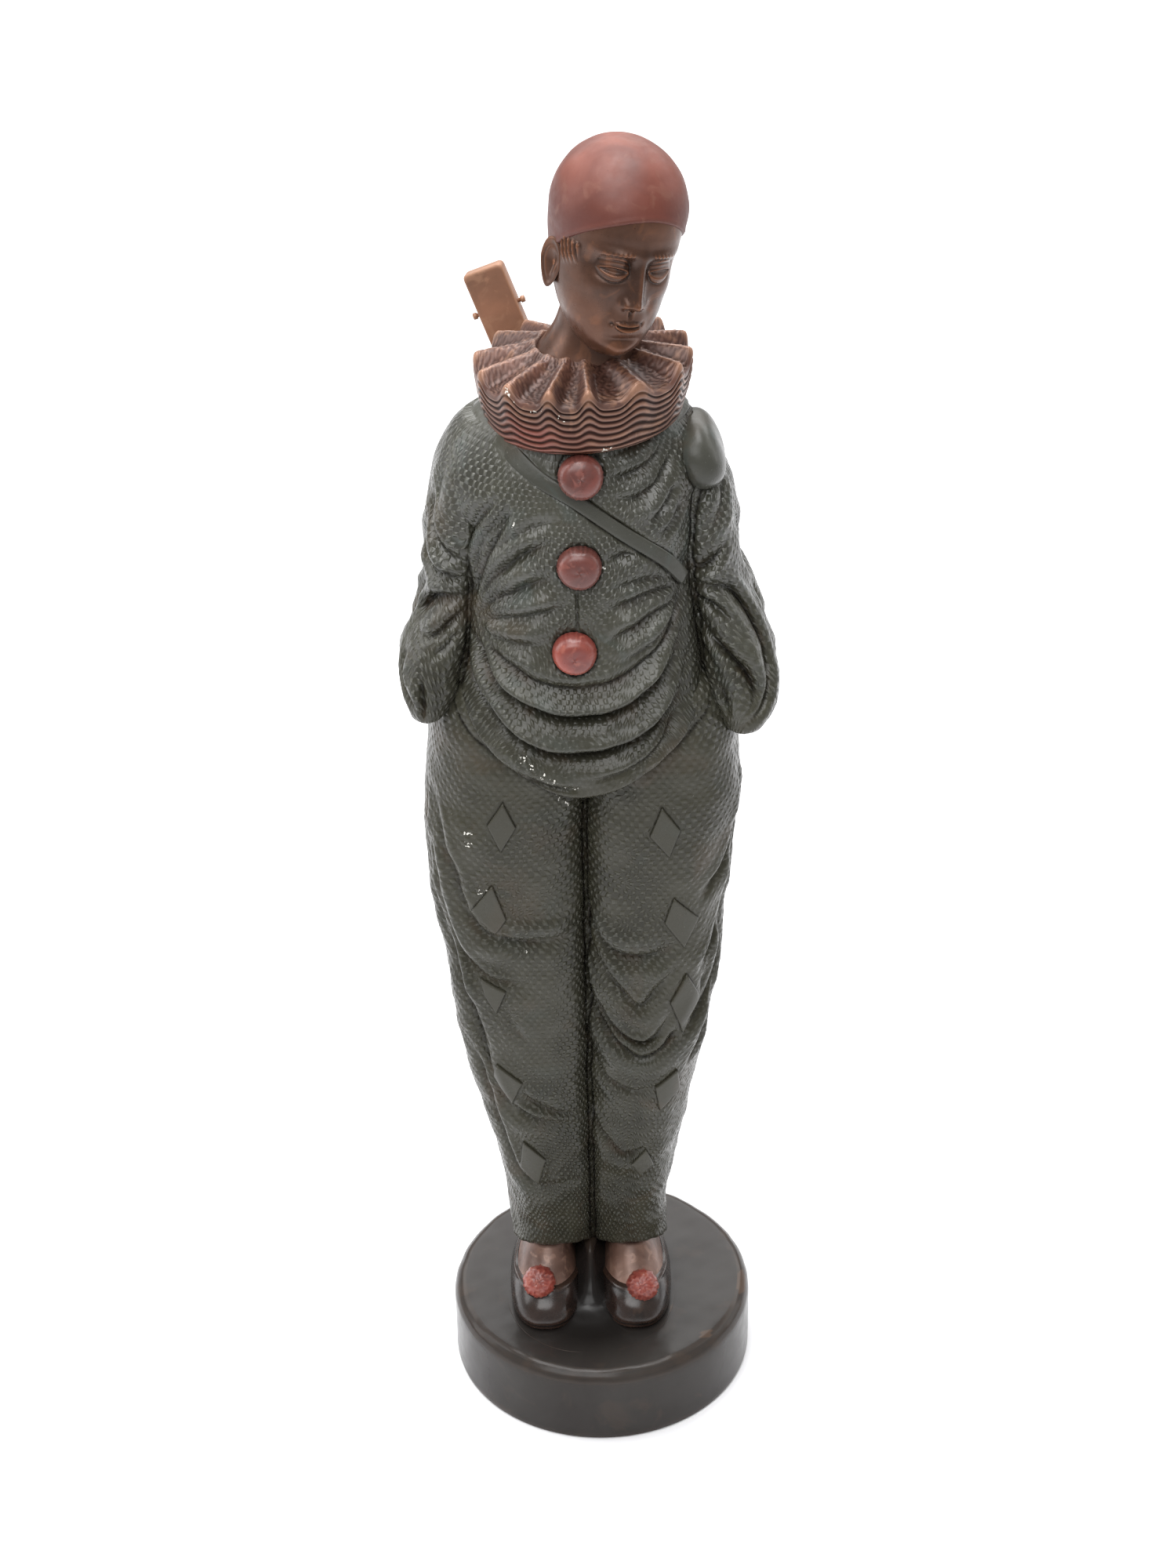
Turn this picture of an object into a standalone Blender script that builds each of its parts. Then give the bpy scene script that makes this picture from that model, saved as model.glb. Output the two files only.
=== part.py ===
"""A cold-painted metal figure of a standing clown in a wide quilted costume, on a round base.

The figure is one casting: head, skull cap, ruff, jacket with its sleeves, trousers, shoes and
the red buttons. It stands on a turned base, and a small mandolin is fastened to its back.
+Z is up, the figure faces -Y, and the origin is the centre of the base's underside.
"""

import math

import bmesh
import bpy
import numpy as np
from mathutils import Matrix, Vector

# Driving dimensions, in metres.
FIGURE_HEIGHT = 0.888
FIGURE_OFFSET_X = -0.005
BASE_DIAMETER = 0.222
BASE_HEIGHT = 0.062
BASE_EDGE_RADIUS = 0.010
BASE_FOOT_CHAMFER = 0.0015
SEAT_GAP = 0.0003

MANDOLIN_BODY_LENGTH = 0.168
MANDOLIN_BODY_WIDTH = 0.112
MANDOLIN_BODY_DEPTH = 0.024
MANDOLIN_NECK_LENGTH = 0.084
MANDOLIN_NECK_WIDTH = 0.018
MANDOLIN_NECK_DEPTH = 0.011
MANDOLIN_HEAD_LENGTH = 0.056
MANDOLIN_HEAD_WIDTH = 0.027
MANDOLIN_HEAD_DEPTH = 0.011
PEG_DIAMETER = 0.0045
PEG_REACH = 0.0048
PEG_BELOW_TOP = 0.028
MANDOLIN_EDGE = 0.002
HEADSTOCK_EDGE = 0.0025
NECK_OVERLAP = 0.006

# The mandolin's place: the top of its inner face, in units of U, and its angles.
MANDOLIN_TOP = (-59, 88, 768)
MANDOLIN_SLANT_DEG = 22
MANDOLIN_LEAN_DEG = 6
MANDOLIN_TURN_DEG = -8

# The figure's own measure: every length of the figure below is in units of U, about a
# millimetre. Heights are above the soles and sideways places are from the figure's axis.
U = FIGURE_HEIGHT / 888.0

# How finely the sculpture is worked: the casting's cell, in units of U, its triangles, and
# the points round a garment.
CELL = 2.4
FIGURE_TRIANGLES = 7050
COLUMNS = 120

# How wide the cutter that levels the soles is, in metres.
CUTTER_SPAN = 0.4

# The usual radius of each garment, which turns degrees round it into lengths.
JACKET_REACH = 80
LEG_REACH = 52
SLEEVE_REACH = 28

# Garments as rows of (height, left, right, front, back, squareness) from the hem upwards.
# Each row is the box around the garment at that height.
LEFT_LEG = [
    (12, -54, 5, -14, 44, 2.2),
    (50, -61, 6, -24, 46, 2.3),
    (87, -63, 7, -32, 47, 2.3),
    (145, -71, 8, -43, 50, 2.4),
    (203, -84, 8, -51, 55, 2.5),
    (259, -93, 8, -57, 60, 2.6),
    (313, -97, 8, -61, 64, 2.7),
    (366, -104, 8, -63, 68, 2.9),
    (417, -107, 8, -66, 71, 3.0),
    (466, -104, 8, -67, 70, 3.0),
    (520, -98, 8, -62, 66, 2.8),
    (570, -84, 8, -52, 58, 2.6),
]
RIGHT_LEG = [
    (12, -7, 51, -14, 44, 2.2),
    (50, -7, 54, -24, 46, 2.3),
    (87, -8, 55, -32, 47, 2.3),
    (145, -8, 65, -43, 50, 2.4),
    (203, -8, 75, -51, 55, 2.5),
    (259, -8, 85, -57, 60, 2.6),
    (313, -8, 91, -61, 64, 2.7),
    (366, -8, 94, -63, 68, 2.9),
    (417, -8, 101, -66, 71, 3.0),
    (466, -8, 104, -67, 70, 3.0),
    (520, -8, 100, -62, 66, 2.8),
    (570, -8, 86, -52, 58, 2.6),
]
JACKET = [
    (440, -90, 88, -70, 68, 2.3),
    (472, -90, 88, -78, 72, 2.3),
    (510, -89, 88, -81, 74, 2.3),
    (545, -86, 86, -80, 75, 2.3),
    (580, -79, 81, -77, 75, 2.3),
    (620, -77, 79, -71, 75, 2.3),
    (650, -79, 82, -66, 75, 2.3),
    (674, -84, 88, -62, 71, 2.2),
    (690, -80, 85, -58, 64, 2.1),
    (706, -70, 75, -51, 54, 2.0),
    (722, -52, 58, -44, 44, 2.0),
    (738, -36, 44, -36, 36, 2.0),
]
LEFT_SLEEVE = [
    (513, -107, -95, -50, -30, 2.0),
    (519, -111, -87, -58, -14, 2.0),
    (527, -115, -80, -60, 2, 2.1),
    (537, -118, -74, -59, 15, 2.2),
    (550, -117, -70, -56, 26, 2.2),
    (567, -111, -66, -50, 36, 2.2),
    (584, -104, -62, -44, 41, 2.2),
    (600, -100, -57, -40, 42, 2.2),
    (618, -99, -54, -38, 42, 2.2),
    (641, -96, -52, -36, 40, 2.2),
    (663, -92, -49, -34, 37, 2.1),
    (685, -85, -44, -30, 32, 2.0),
    (700, -76, -44, -22, 24, 2.0),
    (710, -66, -50, -10, 12, 2.0),
]
RIGHT_SLEEVE = [
    (499, 97, 108, -48, -28, 2.0),
    (506, 91, 119, -57, -12, 2.0),
    (515, 86, 125, -60, 1, 2.1),
    (527, 80, 128, -59, 15, 2.2),
    (544, 74, 126, -56, 28, 2.2),
    (564, 70, 121, -50, 36, 2.2),
    (582, 66, 113, -44, 41, 2.2),
    (600, 60, 106, -40, 42, 2.2),
    (618, 57, 102, -38, 42, 2.2),
    (641, 55, 101, -36, 40, 2.2),
    (663, 53, 97, -34, 37, 2.1),
    (685, 48, 90, -30, 32, 2.0),
    (700, 48, 82, -22, 24, 2.0),
    (710, 54, 72, -10, 12, 2.0),
]
NECK = [
    (700, -32, 46, -42, 36, 2.0),
    (735, -30, 45, -42, 35, 2.0),
    (748, -27, 43, -39, 33, 2.0),
    (757, -20, 41, -36, 30, 2.0),
    (768, -13, 40, -34, 26, 2.0),
    (782, -8, 44, -33, 22, 2.0),
    (805, -2, 50, -30, 20, 2.0),
]
LEFT_SHOE = [
    (0, -61, -11, -61, 44, 2.5),
    (6, -63, -10, -64, 46, 2.6),
    (13, -62, -11, -62, 46, 2.5),
    (20, -59, -12, -54, 45, 2.4),
    (28, -56, -14, -42, 44, 2.2),
    (38, -53, -15, -30, 42, 2.1),
    (50, -52, -15, -20, 40, 2.0),
    (64, -52, -15, -14, 38, 2.0),
]
SHOE_MIRROR = -6
RIGHT_SHOE = [
    (z, SHOE_MIRROR - right, SHOE_MIRROR - left, front, back, power)
    for z, left, right, front, back, power in LEFT_SHOE
]
MOUND = [
    (0, -66, 60, -84, 56, 2.2),
    (2, -54, 48, -70, 52, 2.2),
    (5, -42, 36, -58, 48, 2.2),
    (10, -28, 22, -46, 44, 2.1),
    (18, -18, 12, -38, 40, 2.0),
    (30, -11, 5, -28, 36, 2.0),
    (42, -8, 2, -20, 32, 2.0),
]

# The head stands in its own frame, in units of U: face to -Y, eyes at height nought.
HEAD_CENTRE = (24, -18, 826)
HEAD_TURN_DEG = 22
HEAD_LEAN_DEG = 11
HEAD_NOD_DEG = 6
HEAD_TALL = 1.05
HEAD = [
    (-58, -8, 8, -28, -14, 2.0),
    (-55, -14, 14, -34, -2, 2.0),
    (-49, -21, 21, -39, 9, 2.1),
    (-40, -27, 27, -41, 19, 2.2),
    (-30, -31, 31, -42, 28, 2.2),
    (-19, -33, 33, -43, 37, 2.2),
    (-8, -34, 34, -43.5, 43, 2.2),
    (6, -35.5, 35.5, -44, 46, 2.2),
    (20, -36.5, 36.5, -44.5, 46.5, 2.2),
    (34, -34.5, 34.5, -41, 43, 2.1),
    (46, -27, 27, -31, 34, 2.0),
    (55, -13, 13, -15, 18, 2.0),
    (57.5, -4, 4, -4, 8, 2.0),
]
CAP_THICKNESS = 2.8
CAP_RIM_HEIGHT = 2
CAP_RIM_RISE = 22

# The face's forms as (across, up, reach across, reach up, height), all of them mirrored.
FACE_FORMS = [
    (0, -4, 4.2, 9, 5.0),
    (0, -14, 5.0, 7, 6.5),
    (0, -19, 5.6, 4.2, 6.0),
    (6.5, -20.5, 3.6, 3.6, 3.6),
    (13, 9.5, 10, 3.2, 2.2),
    (24, 8, 7, 4, 1.2),
    (14.5, 0.5, 8.5, 5.6, -5.0),
    (7.5, 1.5, 3.5, 4, -2.2),
    (14.5, 0, 6.2, 3.8, 4.0),
    (25, -12, 9, 7, 1.8),
    (5, -31, 6.5, 2.4, 2.6),
    (4.5, -37.4, 6.5, 2.6, 3.0),
    (0, -27, 2.0, 4, -1.2),
    (0, -42.5, 10, 2.4, -2.2),
    (0, -50, 9, 6, 3.0),
    (15, -30, 4, 7, -1.2),
]

# An ear: how far its middle lies out, behind and below the eye line, and its half sizes.
EAR_OUT = 34.5
EAR_BACK = 3
EAR_DROP = 15
EAR_DEEP = 8.5
EAR_TALL = 15

# The ruff: rings of (radius, height at a flute's crest, height in its trough).
RUFF_CENTRE = (4.8, -3)
RUFF_FLUTES = 14
RUFF_FIRST_CREST_DEG = 6
RUFF_RISE_RIGHT = 0.05
RUFF_RISE_BACK = -0.02
RUFF = [
    (26, 742, 742),
    (29, 757, 756),
    (36, 756, 752.5),
    (46, 754.5, 748.5),
    (55, 753, 745),
    (62, 751.5, 742.5),
    (65.5, 750, 740.5),
    (66.5, 745, 737),
    (66, 736, 730.5),
    (64.5, 727, 723),
    (62.5, 717, 715),
    (60, 708, 708),
    (52, 704, 704),
    (36, 702, 702),
]

# Round buttons and pompoms as (x, y, z, tilt of the face from level, radius, height).
BUTTONS = [(2, -60, 692, 14, 14, 13), (0, -66, 634, 4, 14, 13), (-4, -73, 578, -2, 14, 13)]
POMPOMS = [(-39, -42, 24, 42, 11.5, 13), (33, -42, 22, 42, 11.5, 13)]

# Raised lozenges on the trousers: top, right, bottom and left corners as (degrees, height).
LOZENGE_PROUD = 1.9
LEFT_LOZENGES = [
    [(-4, 463), (3, 444), (-5, 425), (-12, 446)],
    [(-11, 397), (-5, 369), (-12, 357), (-24, 375)],
    [(-26, 316), (-11, 307), (-18, 288), (-24, 302)],
    [(-24, 239), (-8, 223), (-18, 203), (-29, 226)],
    [(-18, 164), (-2, 146), (-12, 119), (-26, 137)],
]
RIGHT_LOZENGES = [
    [(2, 457), (12, 439), (7, 418), (-4, 435)],
    [(12, 383), (28, 363), (20, 341), (8, 363)],
    [(23, 317), (36, 291), (25, 264), (14, 294)],
    [(26, 229), (32, 210), (17, 193), (11, 216)],
    [(11, 154), (20, 138), (9, 127), (0, 140)],
]

# The smooth strap across the chest and the smooth flap on the shoulder.
STRAP = [(-50, 706), (-38, 698), (-24, 689), (-3, 676), (18, 657), (41, 633), (54, 614)]
STRAP_WIDTH = 12
STRAP_PROUD = 2.0
FLAP_CENTRE = (74, -6, 688)
FLAP_SIZE = (17, 33, 21)

# Folds as (start, bend, end, height, width): the first three are (degrees from the front,
# height), positive towards +X. A raised fold has a positive height, a crease a negative one,
# and all of them are made deeper by the same factor.
FOLD_DEPTH = 1.35
JACKET_FOLDS = [
    ((-54, 588), (-7, 512), (52, 607), -7, 6),
    ((-57, 580), (-2, 478), (49, 589), -10, 7),
    ((-60, 570), (-2, 440), (52, 560), -8, 7),
    ((-58, 591), (-40, 607), (-20, 609), -5, 5),
    ((-58, 597), (-40, 622), (-16, 634), -5, 5),
    ((-59, 602), (-50, 645), (-14, 668), -5, 5),
    ((-62, 624), (-53, 662), (-38, 684), -4, 5),
    ((-52, 664), (-44, 688), (-36, 695), -3, 4),
    ((54, 600), (28, 600), (8, 584), -5, 5),
    ((54, 607), (30, 614), (12, 600), -4, 5),
    ((52, 687), (44, 668), (26, 654), -4, 5),
    ((41, 696), (32, 676), (16, 668), -4, 5),
    ((-2, 622), (-2, 606), (-2, 592), -3, 2),
    ((150, 690), (140, 640), (118, 590), -4, 7),
    ((-150, 690), (-140, 640), (-118, 590), -4, 7),
    ((112, 590), (180, 520), (248, 590), -7, 8),
    ((110, 560), (180, 486), (250, 560), -7, 8),
]
LEFT_LEG_FOLDS = [
    ((-52, 438), (-24, 360), (12, 341), -4.5, 4),
    ((-56, 426), (-31, 316), (6, 317), -5, 4),
    ((-48, 413), (-42, 330), (-26, 262), -4.5, 4),
    ((-38, 300), (-24, 225), (-8, 175), -4, 4),
    ((-16, 291), (-12, 268), (2, 258), -3.5, 4),
    ((-8, 222), (8, 186), (38, 183), -4, 4),
    ((-42, 222), (-28, 205), (-14, 186), -4, 4),
    ((-40, 152), (-20, 108), (28, 116), -4.5, 4),
    ((-75, 430), (-95, 330), (-60, 230), -5, 6),
    ((-115, 440), (-125, 330), (-95, 200), -5, 6),
    ((150, 420), (190, 340), (215, 400), -5, 6),
    ((160, 300), (185, 230), (215, 290), -5, 6),
    ((150, 190), (180, 130), (220, 180), -5, 6),
]
RIGHT_LEG_FOLDS = [
    ((-50, 387), (-18, 323), (9, 349), -4.5, 4),
    ((-51, 316), (-10, 221), (16, 294), -6.5, 4.5),
    ((-49, 230), (-30, 216), (-5, 203), -4, 4),
    ((-30, 176), (-14, 138), (9, 157), -4, 4),
    ((-18, 316), (-8, 278), (8, 320), -3.5, 4),
    ((58, 487), (40, 438), (16, 388), -4.5, 4),
    ((54, 440), (50, 372), (29, 302), -5, 4),
    ((52, 370), (50, 310), (40, 262), -4, 4),
    ((84, 430), (96, 330), (60, 240), -5, 6),
    ((115, 440), (125, 330), (95, 200), -5, 6),
    ((210, 420), (170, 340), (145, 400), -5, 6),
    ((200, 300), (175, 230), (145, 290), -5, 6),
    ((210, 190), (180, 130), (140, 180), -5, 6),
]
LEFT_SLEEVE_FOLDS = [
    ((-40, 650), (-25, 632), (9, 620), -4, 3.5),
    ((14, 611), (-8, 614), (-27, 616), -5, 3.5),
    ((14, 600), (-20, 600), (-52, 578), -5, 3.5),
    ((14, 591), (-5, 582), (-30, 564), -5, 3.5),
    ((-17, 542), (-13, 534), (-10, 518), -6, 3),
    ((-70, 640), (-95, 590), (-130, 600), -4, 5),
    ((-60, 600), (-90, 560), (-130, 560), -4, 5),
]
RIGHT_SLEEVE_FOLDS = [
    ((-18, 613), (4, 620), (26, 632), -4, 3.5),
    ((-25, 600), (30, 608), (40, 568), -7, 4),
    ((40, 570), (42, 530), (-8, 508), -7, 4),
    ((-27, 594), (-8, 594), (17, 574), -4.5, 3.5),
    ((-28, 586), (-6, 576), (9, 545), -6, 3.5),
    ((9, 547), (18, 526), (-6, 513), -6, 3.5),
    ((-60, 548), (-44, 536), (-20, 513), -4.5, 3.5),
    ((70, 640), (95, 590), (130, 600), -4, 5),
]


def smooth_values(keys, values, at):
    """Values read from a smooth curve through (key, value) points."""
    keys = np.asarray(keys, float)
    values = np.asarray(values, float)
    chords = np.diff(values) / np.diff(keys)
    slopes = np.concatenate([chords[:1], (chords[1:] + chords[:-1]) / 2, chords[-1:]])
    at = np.clip(at, keys[0], keys[-1])
    i = np.clip(np.searchsorted(keys, at, side="right") - 1, 0, len(keys) - 2)
    span = keys[i + 1] - keys[i]
    t = (at - keys[i]) / span
    rise = values[i + 1] - values[i]
    bow = t * (1 - t) * ((slopes[i] * span - rise) * (1 - t) - (slopes[i + 1] * span - rise) * t)
    return values[i] + rise * t + bow


def ease(x):
    """A smooth step from 0 to 1."""
    x = np.clip(x, 0, 1)
    return x * x * (3 - 2 * x)


def fold_relief(folds, angle, z, reach):
    """How far the folds lift a garment's surface, where reach is its usual radius."""
    lift = np.zeros(np.broadcast(angle, z).shape)
    steps = np.linspace(0, 1, 15)
    for start, bend, end, height, width in folds:
        a = (1 - steps) ** 2 * start[0] + 2 * steps * (1 - steps) * bend[0] + steps ** 2 * end[0]
        b = (1 - steps) ** 2 * start[1] + 2 * steps * (1 - steps) * bend[1] + steps ** 2 * end[1]
        nearest = np.full(lift.shape, 1e9)
        along = np.zeros(lift.shape)
        for i in range(len(steps) - 1):
            du = math.radians(a[i + 1] - a[i]) * reach
            dv = b[i + 1] - b[i]
            u = np.radians((angle - a[i] + 180) % 360 - 180) * reach
            v = z - b[i]
            t = np.clip((u * du + v * dv) / (du * du + dv * dv), 0, 1)
            gap = np.hypot(u - t * du, v - t * dv)
            along = np.where(gap < nearest, (i + t) / (len(steps) - 1), along)
            nearest = np.minimum(gap, nearest)
        fade = ease(along / 0.2 + 0.15) * ease((1 - along) / 0.3)
        if height > 0:
            lift += height * fade * np.exp(-(nearest / width) ** 2)
        else:
            lift += height * fade * np.exp(-nearest / width)
    return lift * FOLD_DEPTH


def garment_points(profile, angle, z, lift):
    """Points of a garment's surface at angles round it and heights, lifted outwards."""
    heights = [row[0] for row in profile]
    left, right, front, back, power = (
        smooth_values(heights, [row[i] for row in profile], z) for i in range(1, 6)
    )
    sine = np.sin(np.radians(angle))
    cosine = np.cos(np.radians(angle))
    across = (np.abs(sine) * 2 / (right - left)) ** power
    deep = (np.abs(cosine) * 2 / (back - front)) ** power
    radius = (across + deep) ** (-1 / power) + lift
    x = (left + right) / 2 + radius * sine
    y = (front + back) / 2 - radius * cosine
    return np.stack([x, y, z], -1)


def garment_grid(profile, top, hem, rows, columns, folds, reach, lip, extra=None):
    """A closed loft's grid of points, from its top down to a rounded hem."""
    angle = np.linspace(-180, 180, columns, endpoint=False)[None, :]
    share = np.linspace(0, 1, rows)[:, None]
    z = top + (hem(angle) - top) * share
    to_hem = (1 - share) * (top - hem(angle))
    edge = -lip * np.maximum(0, 1 - to_hem / (2 * lip)) ** 2
    lift = fold_relief(folds, angle, z, reach) + edge
    if extra is not None:
        lift = lift + extra(angle, z)
    return garment_points(profile, angle + 0 * z, z, lift)


def level(height):
    """A hem at one height all round."""
    return lambda angle: height + 0 * angle


def jacket_hem(angle):
    """The jacket's hem: a deep curve in front and a shallower one behind."""
    front = 548 - 77 * (0.5 + 0.5 * np.cos(np.radians(angle * 1.25))) ** 0.8
    back = 548 - 60 * (0.5 - 0.5 * np.cos(np.radians(angle))) ** 1.5
    return np.where(np.abs(angle) < 90, np.minimum(front, 548), np.minimum(front, back))


def trouser_hem(angle):
    """A trouser leg's hem: high over the instep, low at the heel."""
    return 31 + 17 * np.cos(np.radians(angle))


def strap_lift(angle, z):
    """The smooth strap that lies across the chest."""
    nearest = np.full(np.broadcast(angle, z).shape, 1e9)
    for (a, b), (next_a, next_b) in zip(STRAP, STRAP[1:]):
        du = math.radians(next_a - a) * JACKET_REACH
        dv = next_b - b
        u = np.radians(angle - a) * JACKET_REACH
        t = np.clip((u * du + (z - b) * dv) / (du * du + dv * dv), 0, 1)
        nearest = np.minimum(nearest, np.hypot(u - t * du, z - b - t * dv))
    return STRAP_PROUD * ease((STRAP_WIDTH / 2 + 1 - nearest) / 2)


def head_frame():
    """The head's rotation: it turns, leans to one side and nods."""
    turn = Matrix.Rotation(math.radians(HEAD_TURN_DEG), 3, "Z")
    lean = Matrix.Rotation(math.radians(HEAD_LEAN_DEG), 3, "Y")
    nod = Matrix.Rotation(math.radians(HEAD_NOD_DEG), 3, "X")
    return np.array(turn @ lean @ nod)


def place_head(points):
    """From the head's own frame to the figure's."""
    return (points * np.array([1, 1, HEAD_TALL])) @ head_frame().T + np.array(HEAD_CENTRE)


def face_relief(x, z):
    """How far the features of a calm, plain face stand forward."""
    lift = 0 * x
    for across, up, wide, tall, height in FACE_FORMS:
        for side in (-1, 1) if across else (1,):
            gap = ((x - side * across) / wide) ** 2 + ((z - up) / tall) ** 2
            lift = lift + height * np.exp(-gap)
    eyelids = np.exp(-((np.abs(x) - 14.5) / 6) ** 2 - ((z + 2.4) / 0.9) ** 2)
    mouth = np.exp(-(x / 10) ** 4 - ((z + 34) / 1.1) ** 2)
    return lift - 1.2 * eyelids - 2.0 * mouth


def head_grid(rows, columns):
    """The bare head, from its crown to under the chin."""
    crown = HEAD[-1][0]
    chin = HEAD[0][0]
    angle = np.linspace(-180, 180, columns, endpoint=False)[None, :]
    z = (crown + chin) / 2 + (crown - chin) / 2 * np.cos(np.linspace(0, math.pi, rows))[:, None]
    points = garment_points(HEAD, angle + 0 * z, z + 0 * angle, 0 * z * angle)
    ahead = ease((-points[..., 1] - 6) / 22)
    points[..., 1] -= ahead * face_relief(points[..., 0], points[..., 2])
    return place_head(points)


def cap_grid(rows, columns):
    """The close skull cap, whose rim rises over the forehead."""
    crown = HEAD[-1][0]
    angle = np.linspace(-180, 180, columns, endpoint=False)[None, :]
    rim = CAP_RIM_HEIGHT + CAP_RIM_RISE * np.cos(np.radians(angle))
    share = np.sin(np.linspace(0, math.pi / 2, rows))[:, None] ** 1.2
    z = rim + (crown - rim) * (1 - share)
    edge = -1.2 * np.maximum(0, 1 - (z - rim) / 1.5) ** 2
    taper = 0.35 + 0.65 * ease((z - rim) / 22)
    points = garment_points(HEAD, angle + 0 * z, z, CAP_THICKNESS * taper + edge)
    points[..., 2] += CAP_THICKNESS * np.clip(z / crown, 0, 1) ** 2
    return place_head(points)


def ear_grid(side, columns=20):
    """A plain ear: a flattened bowl with a raised rim, lower and narrower at its lobe."""
    around = np.linspace(0, 2 * math.pi, columns, endpoint=False)[None, :]
    out = np.array([0, 0.55, 0.85, 1.0, 0.8])[:, None]
    depth = np.array([-0.5, 1.2, 3.4, 2.2, -4.0])[:, None]
    narrow = 1 - 0.3 * np.clip(-np.sin(around), 0, 1)
    back = EAR_DEEP * out * np.cos(around) * narrow
    x = side * (EAR_OUT + depth + 0.42 * back)
    z = -EAR_DROP + EAR_TALL * out * np.sin(around) + 0.15 * back
    return place_head(np.stack([x, EAR_BACK + back, z], -1))


def ruff_grid(rows, columns):
    """The fluted ruff: a pleated top, a scalloped rim and a narrowing outer band."""
    angle = np.linspace(-180, 180, columns, endpoint=False)[None, :]
    place = np.linspace(0, len(RUFF) - 1, rows)[:, None]
    ring = range(len(RUFF))
    radius = smooth_values(ring, [r[0] for r in RUFF], place)
    crest = smooth_values(ring, [r[1] for r in RUFF], place)
    trough = smooth_values(ring, [r[2] for r in RUFF], place)
    drift = 3.0 * np.sin(np.radians(angle * 3 + 70)) + 2.0 * np.sin(np.radians(angle * 5 + 10))
    beat = np.radians((angle + drift - RUFF_FIRST_CREST_DEG) * RUFF_FLUTES)
    wave = (0.5 + 0.5 * np.cos(beat)) ** (1.5 + 0.9 * ease((radius - 40) / 20))
    radius = radius + 1.5 * wave * ease((radius - 50) / 18) * ease((trough - 706) / 20)
    z = trough + (crest - trough) * wave
    sine = np.sin(np.radians(angle))
    cosine = np.cos(np.radians(angle))
    z = z + RUFF_RISE_RIGHT * radius * sine - RUFF_RISE_BACK * radius * cosine
    return np.stack([RUFF_CENTRE[0] + radius * sine, RUFF_CENTRE[1] - radius * cosine, z], -1)


def dome_grid(place, radius, height, columns=14):
    """A round button or pompom whose face looks forward, tilted up from level."""
    x, y, z, tilt = place
    ring = np.array([0.35, 0.75, 0.96, 1.0, 0.9])[:, None]
    rise = np.array([1.0, 0.82, 0.5, 0.2, -0.35])[:, None] * height
    around = np.linspace(0, 2 * math.pi, columns, endpoint=False)[None, :]
    across = radius * ring * np.cos(around)
    up = radius * ring * np.sin(around)
    ahead = np.array([0, -math.cos(math.radians(tilt)), math.sin(math.radians(tilt))])
    above = np.array([0, math.sin(math.radians(tilt)), math.cos(math.radians(tilt))])
    grid = across[..., None] * np.array([1, 0, 0]) + up[..., None] * above
    return grid + (rise + 0 * around)[..., None] * ahead + np.array([x, y, z])


def lozenge_grid(profile, folds, reach, corners, cells=2):
    """A thin raised lozenge that follows the cloth under it, as rings round its centre."""
    corners = np.array(corners, float)
    middle = corners.mean(0)
    step = np.arange(4 * cells)
    t = ((step % cells) / cells)[:, None]
    edge = corners[step // cells] * (1 - t) + corners[(step // cells + 1) % 4] * t - middle
    share = np.array([0.5, 0.97, 1.0])[:, None]
    lift = np.array([1.0, 1.0, -2.0])[:, None] * LOZENGE_PROUD
    angle = middle[0] + share * edge[None, :, 0]
    z = middle[1] + share * edge[None, :, 1]
    return garment_points(profile, angle, z, lift + fold_relief(folds, angle, z, reach))


def flap_grid():
    """The smooth flap over the shoulder."""
    angle = np.linspace(-180, 180, 28, endpoint=False)[None, :]
    polar = np.linspace(0.05, math.pi - 0.05, 14)[:, None]
    wide, deep, tall = FLAP_SIZE
    around = np.sin(polar) ** 0.8
    x = FLAP_CENTRE[0] + wide * around * np.sin(np.radians(angle))
    y = FLAP_CENTRE[1] - deep * around * np.cos(np.radians(angle))
    rise = np.sign(np.cos(polar)) * np.abs(np.cos(polar)) ** 0.8
    z = FLAP_CENTRE[2] + tall * rise + 0 * angle
    return np.stack([x, y, z], -1)


def world(points):
    """From units of the figure to metres in the part's frame."""
    moved = np.asarray(points, float) * U
    return moved + np.array([FIGURE_OFFSET_X, 0, BASE_HEIGHT + SEAT_GAP])


def closed_mesh(name, grids):
    """A mesh from grids that wrap round, each with both ends closed by a fan."""
    points = []
    faces = []
    for grid in grids:
        rows, columns = grid.shape[:2]
        first = len(points)
        ends = [grid[0].mean(0), grid[-1].mean(0)]
        points.extend(world(np.concatenate([grid.reshape(-1, 3), ends])).tolist())
        top = first + rows * columns
        for c in range(columns):
            d = (c + 1) % columns
            for r in range(rows - 1):
                above = first + r * columns
                below = above + columns
                faces.append((above + c, below + c, below + d, above + d))
            last = first + (rows - 1) * columns
            faces.append((first + c, first + d, top))
            faces.append((last + d, last + c, top + 1))
    mesh = bpy.data.meshes.new(name)
    mesh.from_pydata(points, [], faces)
    mesh.update()
    work = bmesh.new()
    work.from_mesh(mesh)
    bmesh.ops.recalc_face_normals(work, faces=work.faces)
    work.to_mesh(mesh)
    work.free()
    return mesh


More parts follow.
